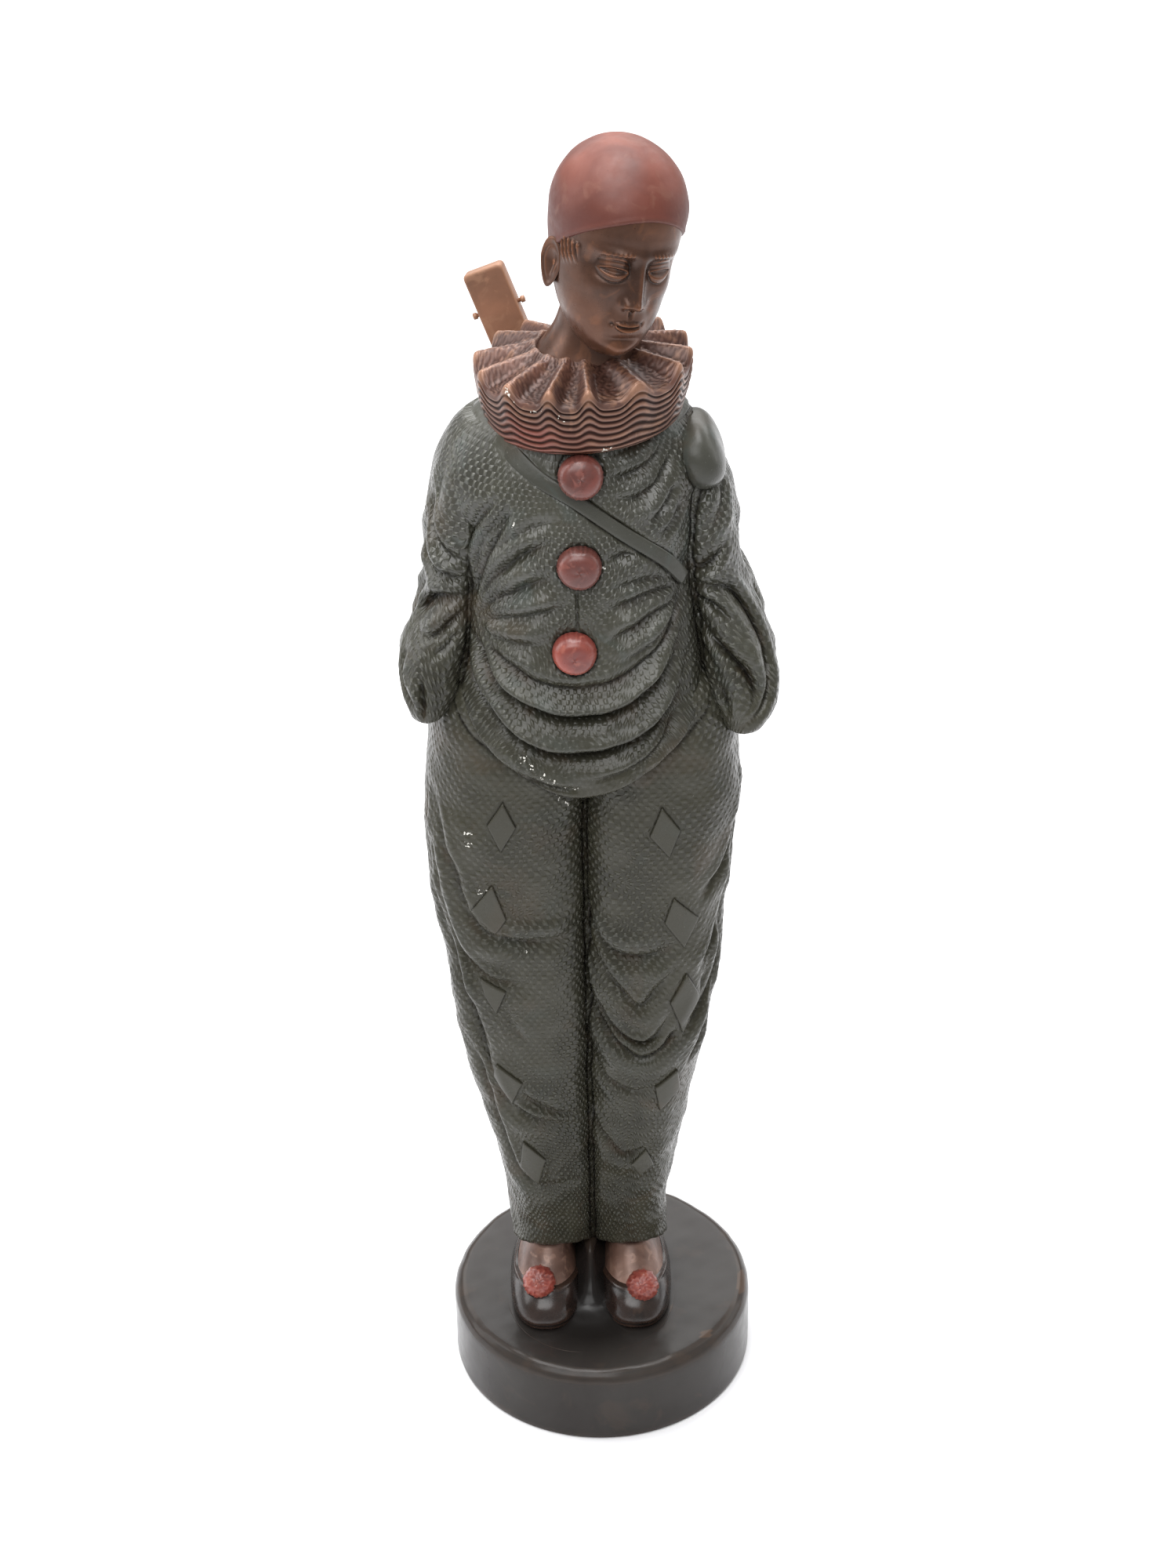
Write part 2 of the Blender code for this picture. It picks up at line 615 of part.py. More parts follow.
def soft_forms():
    """The forms that flow into one another in the casting."""
    return [
        garment_grid(LEFT_LEG, 566, trouser_hem, 110, COLUMNS, LEFT_LEG_FOLDS, LEG_REACH, 3),
        garment_grid(RIGHT_LEG, 566, trouser_hem, 110, COLUMNS, RIGHT_LEG_FOLDS, LEG_REACH, 3),
        garment_grid(JACKET, 736, jacket_hem, 70, COLUMNS, JACKET_FOLDS, JACKET_REACH, 3, strap_lift),
        garment_grid(LEFT_SLEEVE, 709, level(514), 70, 60, LEFT_SLEEVE_FOLDS, SLEEVE_REACH, 3),
        garment_grid(RIGHT_SLEEVE, 709, level(500), 70, 60, RIGHT_SLEEVE_FOLDS, SLEEVE_REACH, 3),
        garment_grid(NECK, 804, level(702), 20, 40, [], 30, 1),
        garment_grid(LEFT_SHOE, 63, level(-5), 26, 48, [], 30, 1),
        garment_grid(RIGHT_SHOE, 63, level(-5), 26, 48, [], 30, 1),
        garment_grid(MOUND, 41, level(-5), 18, 60, [], 50, 1),
        head_grid(70, 96),
        cap_grid(40, 80),
        ear_grid(-1),
        ear_grid(1),
        ruff_grid(50, 168),
        flap_grid(),
    ]


def crisp_forms():
    """The forms with clean edges of their own: buttons, pompoms and lozenges."""
    forms = [dome_grid(place[:4], *place[4:]) for place in BUTTONS + POMPOMS]
    for corners in LEFT_LOZENGES:
        forms.append(lozenge_grid(LEFT_LEG, LEFT_LEG_FOLDS, LEG_REACH, corners))
    for corners in RIGHT_LOZENGES:
        forms.append(lozenge_grid(RIGHT_LEG, RIGHT_LEG_FOLDS, LEG_REACH, corners))
    return forms


def material(name, colour, roughness, metallic=0.0):
    made = bpy.data.materials.new(name)
    made.use_nodes = True
    shader = made.node_tree.nodes["Principled BSDF"]
    shader.inputs["Base Color"].default_value = (*colour, 1.0)
    shader.inputs["Roughness"].default_value = roughness
    shader.inputs["Metallic"].default_value = metallic
    return made


def add_object(name, mesh, group, look=None):
    thing = bpy.data.objects.new(name, mesh)
    group.objects.link(thing)
    if look:
        mesh.materials.append(look)
    return thing


def as_cutter(thing):
    thing.hide_render = True
    thing.display_type = "WIRE"
    return thing


def boolean(target, other, operation):
    step = target.modifiers.new(other.name, "BOOLEAN")
    step.operation = operation
    step.solver = "EXACT"
    step.object = other


def box(name, size, middle, group):
    """A box by its size and middle, as an object."""
    mesh = bpy.data.meshes.new(name)
    work = bmesh.new()
    bmesh.ops.create_cube(work, size=1.0)
    bmesh.ops.scale(work, vec=size, verts=work.verts)
    bmesh.ops.translate(work, vec=middle, verts=work.verts)
    work.to_mesh(mesh)
    work.free()
    return add_object(name, mesh, group)


def evaluated_mesh(thing):
    """The object's mesh with its modifiers worked out."""
    bpy.context.view_layer.update()
    graph = bpy.context.evaluated_depsgraph_get()
    return bpy.data.meshes.new_from_object(thing.evaluated_get(graph))


def mandolin_frame():
    """The mandolin's place: its axis leans back and to one side, and it turns a little."""
    turn = Matrix.Rotation(math.radians(MANDOLIN_TURN_DEG), 4, "Z")
    back = Matrix.Rotation(math.radians(-MANDOLIN_LEAN_DEG), 4, "X")
    side = Matrix.Rotation(math.radians(-MANDOLIN_SLANT_DEG), 4, "Y")
    return Matrix.Translation(Vector(world(MANDOLIN_TOP))) @ turn @ back @ side


def build_figure(group, cutters):
    """The casting: soft forms fused, then the crisp ones, then the flat seats cut."""
    figure = add_object("figure", closed_mesh("figure", soft_forms()), group)
    fuse = figure.modifiers.new("fuse", "REMESH")
    fuse.mode = "VOXEL"
    fuse.voxel_size = CELL * U
    calm = figure.modifiers.new("calm", "SMOOTH")
    calm.factor = 0.4
    calm.iterations = 1
    dense = evaluated_mesh(figure)
    thin = figure.modifiers.new("thin", "DECIMATE")
    thin.ratio = FIGURE_TRIANGLES / (2 * len(dense.polygons))
    thin.use_collapse_triangulate = True
    crisp = add_object("crisp_forms", closed_mesh("crisp_forms", crisp_forms()), cutters)
    boolean(figure, as_cutter(crisp), "UNION")
    floor = BASE_HEIGHT + SEAT_GAP
    soles = box("sole_cutter", (CUTTER_SPAN, CUTTER_SPAN, 0.1), (0, 0, floor - 0.05), cutters)
    boolean(figure, as_cutter(soles), "DIFFERENCE")
    length = MANDOLIN_BODY_LENGTH + MANDOLIN_NECK_LENGTH + MANDOLIN_HEAD_LENGTH
    middle = (0, 0.05 - SEAT_GAP, -length / 2)
    seat = box("back_cutter", (MANDOLIN_BODY_WIDTH, 0.1, length), middle, cutters)
    seat.matrix_world = mandolin_frame()
    boolean(figure, as_cutter(seat), "DIFFERENCE")
    figure.data.materials.append(material("costume_paint", (0.075, 0.082, 0.078), 0.5, 0.2))
    return figure


def build_base(group):
    """The turned base with its rounded upper edge."""
    radius = BASE_DIAMETER / 2
    outline = [(0, BASE_HEIGHT)]
    for step in range(5):
        turn = math.pi / 2 * (1 - step / 4)
        outline.append((
            radius - BASE_EDGE_RADIUS + BASE_EDGE_RADIUS * math.cos(turn),
            BASE_HEIGHT - BASE_EDGE_RADIUS + BASE_EDGE_RADIUS * math.sin(turn),
        ))
    outline += [(radius, BASE_FOOT_CHAMFER), (radius - BASE_FOOT_CHAMFER, 0), (0, 0)]
    corners = [(x, 0, z) for x, z in outline]
    edges = [(i, i + 1) for i in range(len(outline) - 1)]
    mesh = bpy.data.meshes.new("base")
    mesh.from_pydata(corners, edges, [])
    base = add_object("base", mesh, group, material("base_paint", (0.06, 0.058, 0.055), 0.4, 0.3))
    turned = base.modifiers.new("turned", "SCREW")
    turned.steps = 56
    turned.render_steps = 56
    turned.use_merge_vertices = True
    turned.merge_threshold = 0.00005
    return base


def body_outline(steps):
    """Half the mandolin body's outline: (distance below the neck, half width)."""
    half = MANDOLIN_BODY_WIDTH / 2
    bend = MANDOLIN_BODY_LENGTH - half
    neck = MANDOLIN_NECK_WIDTH / 2
    points = []
    for i in range(steps + 1):
        t = i / steps
        points.append((bend * t, neck + (half - neck) * math.sin(math.pi / 2 * t) ** 1.5))
    for i in range(1, steps + 1):
        t = math.pi / 2 * i / steps
        points.append((bend + half * math.sin(t), half * math.cos(t)))
    return points


def build_mandolin(group, cutters):
    """The mandolin: body, neck, headstock and a peg on each side, all one piece."""
    top_of_body = -MANDOLIN_HEAD_LENGTH - MANDOLIN_NECK_LENGTH
    half = body_outline(7)
    outline = [(wide, top_of_body - down) for down, wide in half]
    outline += [(-wide, top_of_body - down) for down, wide in half[-2::-1]]
    mesh = bpy.data.meshes.new("mandolin")
    work = bmesh.new()
    flat = work.faces.new([work.verts.new((x, 0, z)) for x, z in outline])
    grown = bmesh.ops.extrude_face_region(work, geom=[flat])["geom"]
    back = [item for item in grown if isinstance(item, bmesh.types.BMVert)]
    bmesh.ops.translate(work, vec=(0, MANDOLIN_BODY_DEPTH, 0), verts=back)
    bmesh.ops.recalc_face_normals(work, faces=work.faces)
    work.to_mesh(mesh)
    work.free()
    patina = material("mandolin_patina", (0.33, 0.18, 0.11), 0.45, 0.4)
    mandolin = add_object("mandolin", mesh, group, patina)
    rounded = mandolin.modifiers.new("rounded", "BEVEL")
    rounded.width = MANDOLIN_EDGE
    rounded.segments = 1
    rounded.limit_method = "ANGLE"
    neck = box(
        "neck",
        (MANDOLIN_NECK_WIDTH, MANDOLIN_NECK_DEPTH, MANDOLIN_NECK_LENGTH + 2 * NECK_OVERLAP),
        (0, MANDOLIN_NECK_DEPTH / 2, -MANDOLIN_HEAD_LENGTH - MANDOLIN_NECK_LENGTH / 2),
        cutters,
    )
    headstock = box(
        "headstock",
        (MANDOLIN_HEAD_WIDTH, MANDOLIN_HEAD_DEPTH, MANDOLIN_HEAD_LENGTH),
        (0, MANDOLIN_HEAD_DEPTH / 2 + 0.0002, -MANDOLIN_HEAD_LENGTH / 2),
        cutters,
    )
    corners = headstock.modifiers.new("corners", "BEVEL")
    corners.width = HEADSTOCK_EDGE
    corners.segments = 2
    mesh = bpy.data.meshes.new("pegs")
    work = bmesh.new()
    middle = Matrix.Translation((0, MANDOLIN_HEAD_DEPTH / 2, -PEG_BELOW_TOP))
    bmesh.ops.create_cone(
        work,
        cap_ends=True,
        segments=12,
        radius1=PEG_DIAMETER / 2,
        radius2=PEG_DIAMETER / 2,
        depth=MANDOLIN_HEAD_WIDTH + 2 * PEG_REACH,
        matrix=middle @ Matrix.Rotation(math.pi / 2, 4, "Y"),
    )
    work.to_mesh(mesh)
    work.free()
    pegs = add_object("pegs", mesh, cutters)
    for piece in (neck, headstock, pegs):
        boolean(mandolin, as_cutter(piece), "UNION")
    for piece in (mandolin, neck, headstock, pegs):
        piece.matrix_world = mandolin_frame()
    return mandolin


def main():
    for thing in list(bpy.data.objects):
        bpy.data.objects.remove(thing)
    group = bpy.data.collections.new("standing_clown")
    cutters = bpy.data.collections.new("cutters")
    bpy.context.scene.collection.children.link(group)
    bpy.context.scene.collection.children.link(cutters)
    build_base(group)
    build_figure(group, cutters)
    build_mandolin(group, cutters)


main()
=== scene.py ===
"""The looks of a cold-painted metal figure: a standing clown on a round base.

Lengths of the figure are in units of U, about a millimetre, with heights above the soles.
Angles round a form are in degrees from the front and grow towards +X.
"""

import math

import bpy
import numpy as np
from mathutils import Matrix, Vector

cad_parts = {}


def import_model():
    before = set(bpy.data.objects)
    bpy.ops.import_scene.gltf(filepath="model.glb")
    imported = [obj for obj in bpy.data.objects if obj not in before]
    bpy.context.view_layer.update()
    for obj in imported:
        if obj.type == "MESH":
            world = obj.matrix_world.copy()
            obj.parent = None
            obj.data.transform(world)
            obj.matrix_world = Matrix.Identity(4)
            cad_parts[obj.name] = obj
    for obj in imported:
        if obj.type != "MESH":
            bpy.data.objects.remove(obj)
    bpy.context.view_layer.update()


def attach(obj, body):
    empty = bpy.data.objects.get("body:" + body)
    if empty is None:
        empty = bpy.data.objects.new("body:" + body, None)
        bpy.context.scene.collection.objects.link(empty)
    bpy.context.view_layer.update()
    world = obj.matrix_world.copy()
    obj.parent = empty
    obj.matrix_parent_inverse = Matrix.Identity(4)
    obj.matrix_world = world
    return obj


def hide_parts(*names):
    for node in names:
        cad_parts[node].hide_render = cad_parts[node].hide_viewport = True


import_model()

# The part's own sizes, in metres.
FIGURE_HEIGHT = 0.888
FIGURE_OFFSET_X = -0.005
BASE_DIAMETER = 0.222
BASE_HEIGHT = 0.062
SEAT_GAP = 0.0003
MANDOLIN_BODY_LENGTH = 0.168
MANDOLIN_BODY_WIDTH = 0.112
MANDOLIN_BODY_DEPTH = 0.024
MANDOLIN_NECK_LENGTH = 0.084
MANDOLIN_NECK_WIDTH = 0.018
MANDOLIN_NECK_DEPTH = 0.011
MANDOLIN_HEAD_LENGTH = 0.056
MANDOLIN_HEAD_WIDTH = 0.027
MANDOLIN_HEAD_DEPTH = 0.011
PEG_DIAMETER = 0.0045
PEG_REACH = 0.0048
PEG_BELOW_TOP = 0.028
MANDOLIN_TOP = (-59, 88, 768)
MANDOLIN_SLANT_DEG = 22
MANDOLIN_LEAN_DEG = 6
MANDOLIN_TURN_DEG = -8
U = FIGURE_HEIGHT / 888.0
SOLES = np.array([FIGURE_OFFSET_X, 0, BASE_HEIGHT + SEAT_GAP])

# The usual radius of each garment, which turns degrees round it into lengths.
JACKET_REACH = 80
LEG_REACH = 52
SLEEVE_REACH = 28

# The cloth's knobs: half the spacing along a row, the spacing of rows, and their height.
KNOB_ACROSS = 2.5
KNOB_ROW = 3.8
KNOB_HEIGHT = 0.25
HEM_LIP = 3

# A distance greater than any on the figure.
FAR = 1e9

# The share of a fold over which it fades in or out. It is short where a fold ends at a side.
SLOW_FADE = 0.45
QUICK_FADE = 0.2
QUICK_FADE_FROM = 40

# The jacket's hem: its height at the sides, the drops in front and behind, and how far
# round, in degrees, the drop in front reaches.
HEM_SIDE = 548
HEM_FRONT_DROP = 77
HEM_BACK_DROP = 60
HEM_FRONT_REACH = 66

# Where the garments start at the top, the sleeves' cuffs, and the grids of points as (rows,
# columns).
TROUSERS_TOP = 556
JACKET_TOP = 732
SLEEVE_TOP = 709
LEFT_CUFF = 514
RIGHT_CUFF = 500
TROUSERS_GRID = (336, 292)
JACKET_GRID = (232, 316)
SLEEVE_GRID = (170, 140)
RUFF_GRID = (124, 400)
HEAD_GRID = (212, 224)
CAP_GRID = (60, 150)
BASE_GRID = (64, 180)

# How far the trousers' waist is taken in under the jacket, and from which height.
WAIST_TUCK = 18
WAIST_FROM = 530

# Both trouser legs, which share their depth, as rows of (height, left and right of the left
# leg, left and right of the right leg, front, back, squareness) from the hem upwards.
LEGS = [
    (12, -54, 5, -7, 51, -14, 44, 2.2),
    (50, -61, 6, -7, 54, -24, 46, 2.3),
    (87, -63, 7, -8, 55, -32, 47, 2.3),
    (145, -71, 8, -8, 65, -43, 50, 2.4),
    (203, -84, 8, -8, 75, -51, 55, 2.5),
    (259, -93, 8, -8, 85, -57, 60, 2.6),
    (313, -97, 8, -8, 91, -61, 64, 2.7),
    (366, -104, 8, -8, 94, -63, 68, 2.9),
    (417, -107, 8, -8, 101, -66, 71, 3.0),
    (466, -104, 8, -8, 104, -67, 70, 3.0),
    (520, -98, 8, -8, 100, -62, 66, 2.8),
    (570, -84, 8, -8, 86, -52, 58, 2.6),
]
LEFT_LEG = [(*row[:3], *row[5:]) for row in LEGS]
RIGHT_LEG = [(row[0], *row[3:]) for row in LEGS]

# The other forms as rows of (height, left, right, front, back, squareness).
JACKET = [
    (440, -90, 88, -70, 68, 2.3),
    (472, -90, 88, -78, 72, 2.3),
    (510, -89, 88, -81, 74, 2.3),
    (545, -86, 86, -80, 75, 2.3),
    (580, -79, 81, -77, 75, 2.3),
    (620, -77, 79, -71, 75, 2.3),
    (650, -79, 82, -66, 75, 2.3),
    (674, -84, 88, -62, 71, 2.2),
    (690, -80, 85, -58, 64, 2.1),
    (706, -70, 75, -51, 54, 2.0),
    (722, -52, 58, -44, 44, 2.0),
    (738, -36, 44, -36, 36, 2.0),
]
LEFT_SLEEVE = [
    (513, -107, -95, -50, -30, 2.0),
    (519, -111, -87, -58, -14, 2.0),
    (527, -115, -80, -60, 2, 2.1),
    (537, -118, -74, -59, 15, 2.2),
    (550, -117, -70, -56, 26, 2.2),
    (567, -111, -66, -50, 36, 2.2),
    (584, -104, -62, -44, 41, 2.2),
    (600, -100, -57, -40, 42, 2.2),
    (618, -99, -54, -38, 42, 2.2),
    (641, -96, -52, -36, 40, 2.2),
    (663, -92, -49, -34, 37, 2.1),
    (685, -85, -44, -30, 32, 2.0),
    (700, -76, -44, -22, 24, 2.0),
    (710, -66, -50, -10, 12, 2.0),
]
RIGHT_SLEEVE = [
    (499, 97, 108, -48, -28, 2.0),
    (506, 91, 119, -57, -12, 2.0),
    (515, 86, 125, -60, 1, 2.1),
    (527, 80, 128, -59, 15, 2.2),
    (544, 74, 126, -56, 28, 2.2),
    (564, 70, 121, -50, 36, 2.2),
    (582, 66, 113, -44, 41, 2.2),
    (600, 60, 106, -40, 42, 2.2),
    (618, 57, 102, -38, 42, 2.2),
    (641, 55, 101, -36, 40, 2.2),
    (663, 53, 97, -34, 37, 2.1),
    (685, 48, 90, -30, 32, 2.0),
    (700, 48, 82, -22, 24, 2.0),
    (710, 54, 72, -10, 12, 2.0),
]
NECK = [
    (700, -32, 46, -42, 36, 2.0),
    (735, -30, 45, -42, 35, 2.0),
    (748, -27, 43, -39, 33, 2.0),
    (757, -20, 41, -36, 30, 2.0),
    (768, -13, 40, -34, 26, 2.0),
    (782, -8, 44, -33, 20, 2.0),
    (800, 0, 47, -30, 12, 2.0),
    (815, 8, 42, -24, 2, 2.0),
]
LEFT_SHOE = [
    (0, -61, -11, -61, 44, 2.5),
    (6, -63, -10, -64, 46, 2.6),
    (13, -62, -11, -62, 46, 2.5),
    (20, -59, -12, -57, 45, 2.4),
    (28, -56, -14, -45, 44, 2.2),
    (38, -53, -15, -30, 42, 2.1),
    (50, -52, -15, -20, 40, 2.0),
    (64, -52, -15, -14, 38, 2.0),
]
SHOE_MIRROR = -6
MOUND = [
    (0, -66, 60, -86, 56, 2.2),
    (0.15, -62, 56, -80, 54, 2.2),
    (0.6, -56, 50, -73, 52, 2.2),
    (1.8, -48, 42, -65, 50, 2.2),
    (4.5, -38, 32, -56, 47, 2.2),
    (9, -27, 21, -46, 43, 2.1),
    (17, -18, 12, -38, 40, 2.0),
    (30, -11, 5, -28, 36, 2.0),
    (42, -8, 2, -20, 32, 2.0),
]

# The head stands in its own frame: face to -Y, eyes at height nought.
HEAD_CENTRE = (24, -18, 826)
HEAD_TURN_DEG = 22
HEAD_LEAN_DEG = 11
HEAD_NOD_DEG = 6
HEAD_TALL = 1.05
HEAD = [
    (-58, -8, 8, -28, -14, 2.0),
    (-55, -14, 14, -34, -2, 2.0),
    (-49, -21, 21, -39, 9, 2.1),
    (-40, -27, 27, -41, 19, 2.2),
    (-30, -31, 31, -42, 28, 2.2),
    (-19, -33, 33, -43, 37, 2.2),
    (-8, -34, 34, -43.5, 43, 2.2),
    (6, -35.5, 35.5, -44, 46, 2.2),
    (20, -36.5, 36.5, -44.5, 46.5, 2.2),
    (34, -34.5, 34.5, -41, 43, 2.1),
    (46, -27, 27, -31, 34, 2.0),
    (55, -13, 13, -15, 18, 2.0),
    (57.5, -4, 4, -4, 8, 2.0),
]
CAP_THICKNESS = 2.8
CAP_RIM_HEIGHT = 2
CAP_RIM_RISE = 22

# The face's soft forms as (across, up, reach across, reach up, height), all of them mirrored.
FACE_FORMS = [
    (0, 6, 4.0, 8, 1.2),
    (0, -4, 3.6, 9, 5.2),
    (0, -13, 4.2, 6, 5.6),
    (0, -18, 4.6, 4.0, 6.4),
    (6.0, -19.5, 3.0, 3.2, 3.6),
    (13, 10, 10, 3.2, 2.4),
    (24, 8, 7, 4, 1.2),
    (15, 0.5, 9.5, 6.2, -5.0),
    (7.5, 1.5, 3.5, 4, -2.0),
    (25, -12, 9, 7, 2.0),
    (12, -22, 3.0, 7, -0.9),
    (0, -25.5, 1.6, 2.8, -1.3),
    (1.8, -25.5, 1.0, 2.8, 0.5),
    (0, -33, 13, 7, 2.0),
    (0, -43, 9, 2.4, -2.0),
    (0, -50, 9, 6, 3.2),
    (15, -32, 4, 6, -1.0),
]

# The ruff: rings of (radius, height at a flute's crest, height in its trough).
RUFF_CENTRE = (4.8, -3)
RUFF_FLUTES = 14
RUFF_FIRST_CREST_DEG = 6
RUFF_RISE_RIGHT = 0.05
RUFF_RISE_BACK = -0.02
RUFF = [
    (26, 742, 742),
    (29, 757, 756),
    (36, 756, 752.5),
    (46, 754.5, 748.5),
    (55, 753, 745),
    (62, 751.5, 742.5),
    (65.5, 750, 740.5),
    (66.5, 745, 737),
    (66, 736, 730.5),
    (64.5, 727, 723),
    (62.5, 717, 715),
    (60, 708, 708),
    (52, 704, 704),
    (36, 702, 702),
]

# White chips on the ruff as (degrees from the front, ring, reach round it, reach in rings).
RUFF_CHIPS = [(-42, 6.6, 10, 1.2), (-26, 7.2, 10, 1.0), (-12, 7.6, 9, 1.0), (13, 11.0, 11, 1.4)]

# Round buttons and pompoms as (x, y, z, tilt of the face from level, radius, height).
BUTTONS = [(2, -60, 692, 14, 14, 13), (0, -66, 634, 4, 14, 13), (-4, -73, 578, -2, 14, 13)]
POMPOMS = [(-41, -41, 29, 42, 12, 14), (35, -42, 24, 42, 12, 14)]

# Their rounding, from the middle outwards, as (share of the radius, share of the height).
BUTTON_RINGS = [
    (0.02, 1.0), (0.3, 0.99), (0.55, 0.95), (0.75, 0.86), (0.9, 0.66), (0.98, 0.42), (1.0, 0.18),
    (0.97, -0.2),
]
POMPOM_RINGS = [
    (0.02, 1.0), (0.35, 0.97), (0.62, 0.86), (0.85, 0.64), (0.97, 0.36), (1.0, 0.08), (0.96, -0.3),
]

# Raised lozenges on the trousers: top, right, bottom and left corners as (degrees, height).
LOZENGE_PROUD = 1.9
LEFT_LOZENGES = [
    [(-4, 463), (3, 444), (-5, 425), (-12, 446)],
    [(-11, 397), (-5, 369), (-12, 357), (-24, 375)],
    [(-26, 316), (-11, 307), (-18, 288), (-24, 302)],
    [(-24, 239), (-8, 223), (-18, 203), (-29, 226)],
    [(-18, 164), (-2, 146), (-12, 119), (-26, 137)],
]
RIGHT_LOZENGES = [
    [(2, 457), (12, 439), (7, 418), (-4, 435)],
    [(12, 383), (28, 363), (20, 341), (8, 363)],
    [(23, 317), (36, 291), (25, 264), (14, 294)],
    [(26, 229), (32, 210), (17, 193), (11, 216)],
    [(11, 154), (20, 138), (9, 127), (0, 140)],
]

STRAP = [(-50, 706), (-38, 698), (-24, 689), (-3, 676), (18, 657), (41, 633), (54, 614)]
STRAP_WIDTH = 9
STRAP_PROUD = 1.7
FLAP_CENTRE = (76, -8, 685)
FLAP_SIZE = (15, 33, 22)
FLAP_TILT_DEG = 22

# Folds as (points along it from left to right, depth, reach above it, reach below it). The
# points are (degrees from the front, height). A negative depth raises a ridge instead.
JACKET_FOLDS = [
    ([(-58, 584), (-46, 573), (-34, 564), (-23, 557), (-10, 553), (3, 553), (15, 556), (28, 565),
      (41, 579), (50, 598), (54, 611)], 5.5, 5, 7),
    ([(-62, 578), (-52, 568), (-42, 552), (-30, 541), (-15, 533), (1, 531), (14, 534), (28, 543),
      (42, 560), (52, 588)], 9.5, 4, 8),
    ([(-66, 572), (-58, 554), (-45, 535), (-34, 519), (-21, 508), (-7, 504), (10, 506), (28, 516),
      (43, 534), (54, 566)], 9, 4, 8),
    ([(-36, 496), (-26, 487), (-17, 482), (-8, 480), (2, 481)], 4, 3, 4),
    ([(-4, 488), (12, 489), (26, 497), (38, 511), (49, 536)], 4, 3, 5),
    ([(-58, 588), (-46, 604), (-33, 615), (-21, 623), (-12, 626)], 4.6, 5, 6),
    ([(-57, 585), (-41, 595), (-27, 600), (-14, 605), (-6, 610)], 3.8, 4, 5),
    ([(-60, 596), (-57, 611), (-50, 627), (-44, 643), (-39, 658), (-36, 676)], 5.5, 5, 5),
    ([(-57, 600), (-46, 618), (-35, 633), (-24, 644), (-12, 650)], 5, 5, 6),
    ([(-65, 628), (-57, 648), (-48, 664), (-40, 679)], 4.5, 5, 5),
    ([(-59, 618), (-52, 638), (-45, 654), (-34, 668)], 4, 4, 5),
    ([(-55, 583), (-41, 581), (-27, 581), (-14, 584)], 3, 4, 5),
    ([(-44, 636), (-34, 650), (-24, 658), (-10, 663)], 3, 4, 4),
    ([(17, 703), (30, 704), (44, 708), (58, 714)], 3, 4, 4),
    ([(13, 690), (25, 688), (39, 693), (54, 704)], 4, 4, 5),
    ([(16, 677), (30, 675), (43, 684), (55, 698)], 4.4, 4, 5),
    ([(33, 657), (42, 665), (50, 680)], 4, 4, 4),
    ([(39, 648), (46, 654), (52, 668)], 3.5, 3, 4),
    ([(10, 635), (21, 639), (31, 640), (38, 637)], 4, 4, 4),
    ([(9, 604), (22, 608), (36, 612), (53, 610)], 4, 4, 5),
    ([(10, 584), (23, 590), (37, 598), (53, 605)], 4.5, 4, 6),
    ([(14, 568), (28, 576), (41, 587), (52, 598)], 4, 4, 5),
    ([(13, 618), (24, 621), (38, 621), (53, 613)], 3, 3, 4),
    ([(-2.5, 624), (-2, 607), (-2.5, 588)], 3.2, 1.1, 1.1),
    ([(118, 590), (140, 640), (150, 690)], 5, 6, 6),
    ([(-150, 690), (-140, 640), (-118, 590)], 5, 6, 6),
    ([(98, 592), (125, 560), (150, 541), (180, 534), (210, 541), (235, 560), (262, 592)], 7, 5, 8),
    ([(96, 570), (125, 535), (150, 516), (180, 508), (210, 516), (235, 535), (264, 570)], 7, 5, 8),
    ([(100, 602), (130, 590), (160, 582)], 5, 5, 7),
    ([(200, 582), (230, 590), (260, 602)], 5, 5, 7),
    ([(104, 620), (125, 640), (140, 665)], 4, 6, 6),
    ([(220, 665), (235, 640), (256, 620)], 4, 6, 6),
]
LEFT_LEG_FOLDS = [
    ([(-52, 462), (-43, 441), (-38, 420), (-33, 403), (-30, 381), (-22, 361), (-11, 353), (8, 349),
      (26, 350), (39, 357)], 5, 3, 9),
    ([(-54, 425), (-49, 404), (-44, 361), (-37, 337), (-24, 319), (-8, 314), (8, 316)], 4.5, 3, 9),
    ([(-54, 380), (-48, 336), (-43, 314), (-35, 289), (-28, 254), (-24, 234)], 4, 3, 7),
    ([(-52, 350), (-45, 322), (-36, 276), (-30, 233), (-21, 203), (-6, 190), (16, 182),
      (36, 175)], 5, 3, 8),
    ([(-44, 250), (-38, 222), (-36, 179), (-31, 134), (-12, 118), (24, 121)], 5, 3, 8),
    ([(-13, 299), (-9, 279), (2, 255)], 2, 4, 5),
    ([(-16, 219), (-1, 203), (20, 190), (33, 186)], 3, 3, 5),
    ([(-20, 372), (0, 362), (20, 360), (34, 366)], -3.0, 5, 6),
    ([(-14, 226), (6, 210), (26, 198)], -1.6, 5, 5),
    ([(-62, 470), (-60, 430), (-58, 380), (-54, 330)], 3, 3, 6),
    ([(-95, 450), (-88, 400), (-80, 330), (-66, 270), (-56, 226)], 4, 4, 8),
    ([(-118, 440), (-125, 330), (-110, 250), (-95, 190)], 5, 5, 8),
    ([(150, 400), (170, 365), (190, 360), (212, 398)], 5, 5, 8),
    ([(155, 290), (172, 250), (190, 246), (214, 290)], 5, 5, 8),
    ([(150, 190), (170, 156), (190, 150), (218, 182)], 5, 5, 8),
    ([(150, 110), (175, 90), (215, 112)], 4, 5, 7),
]
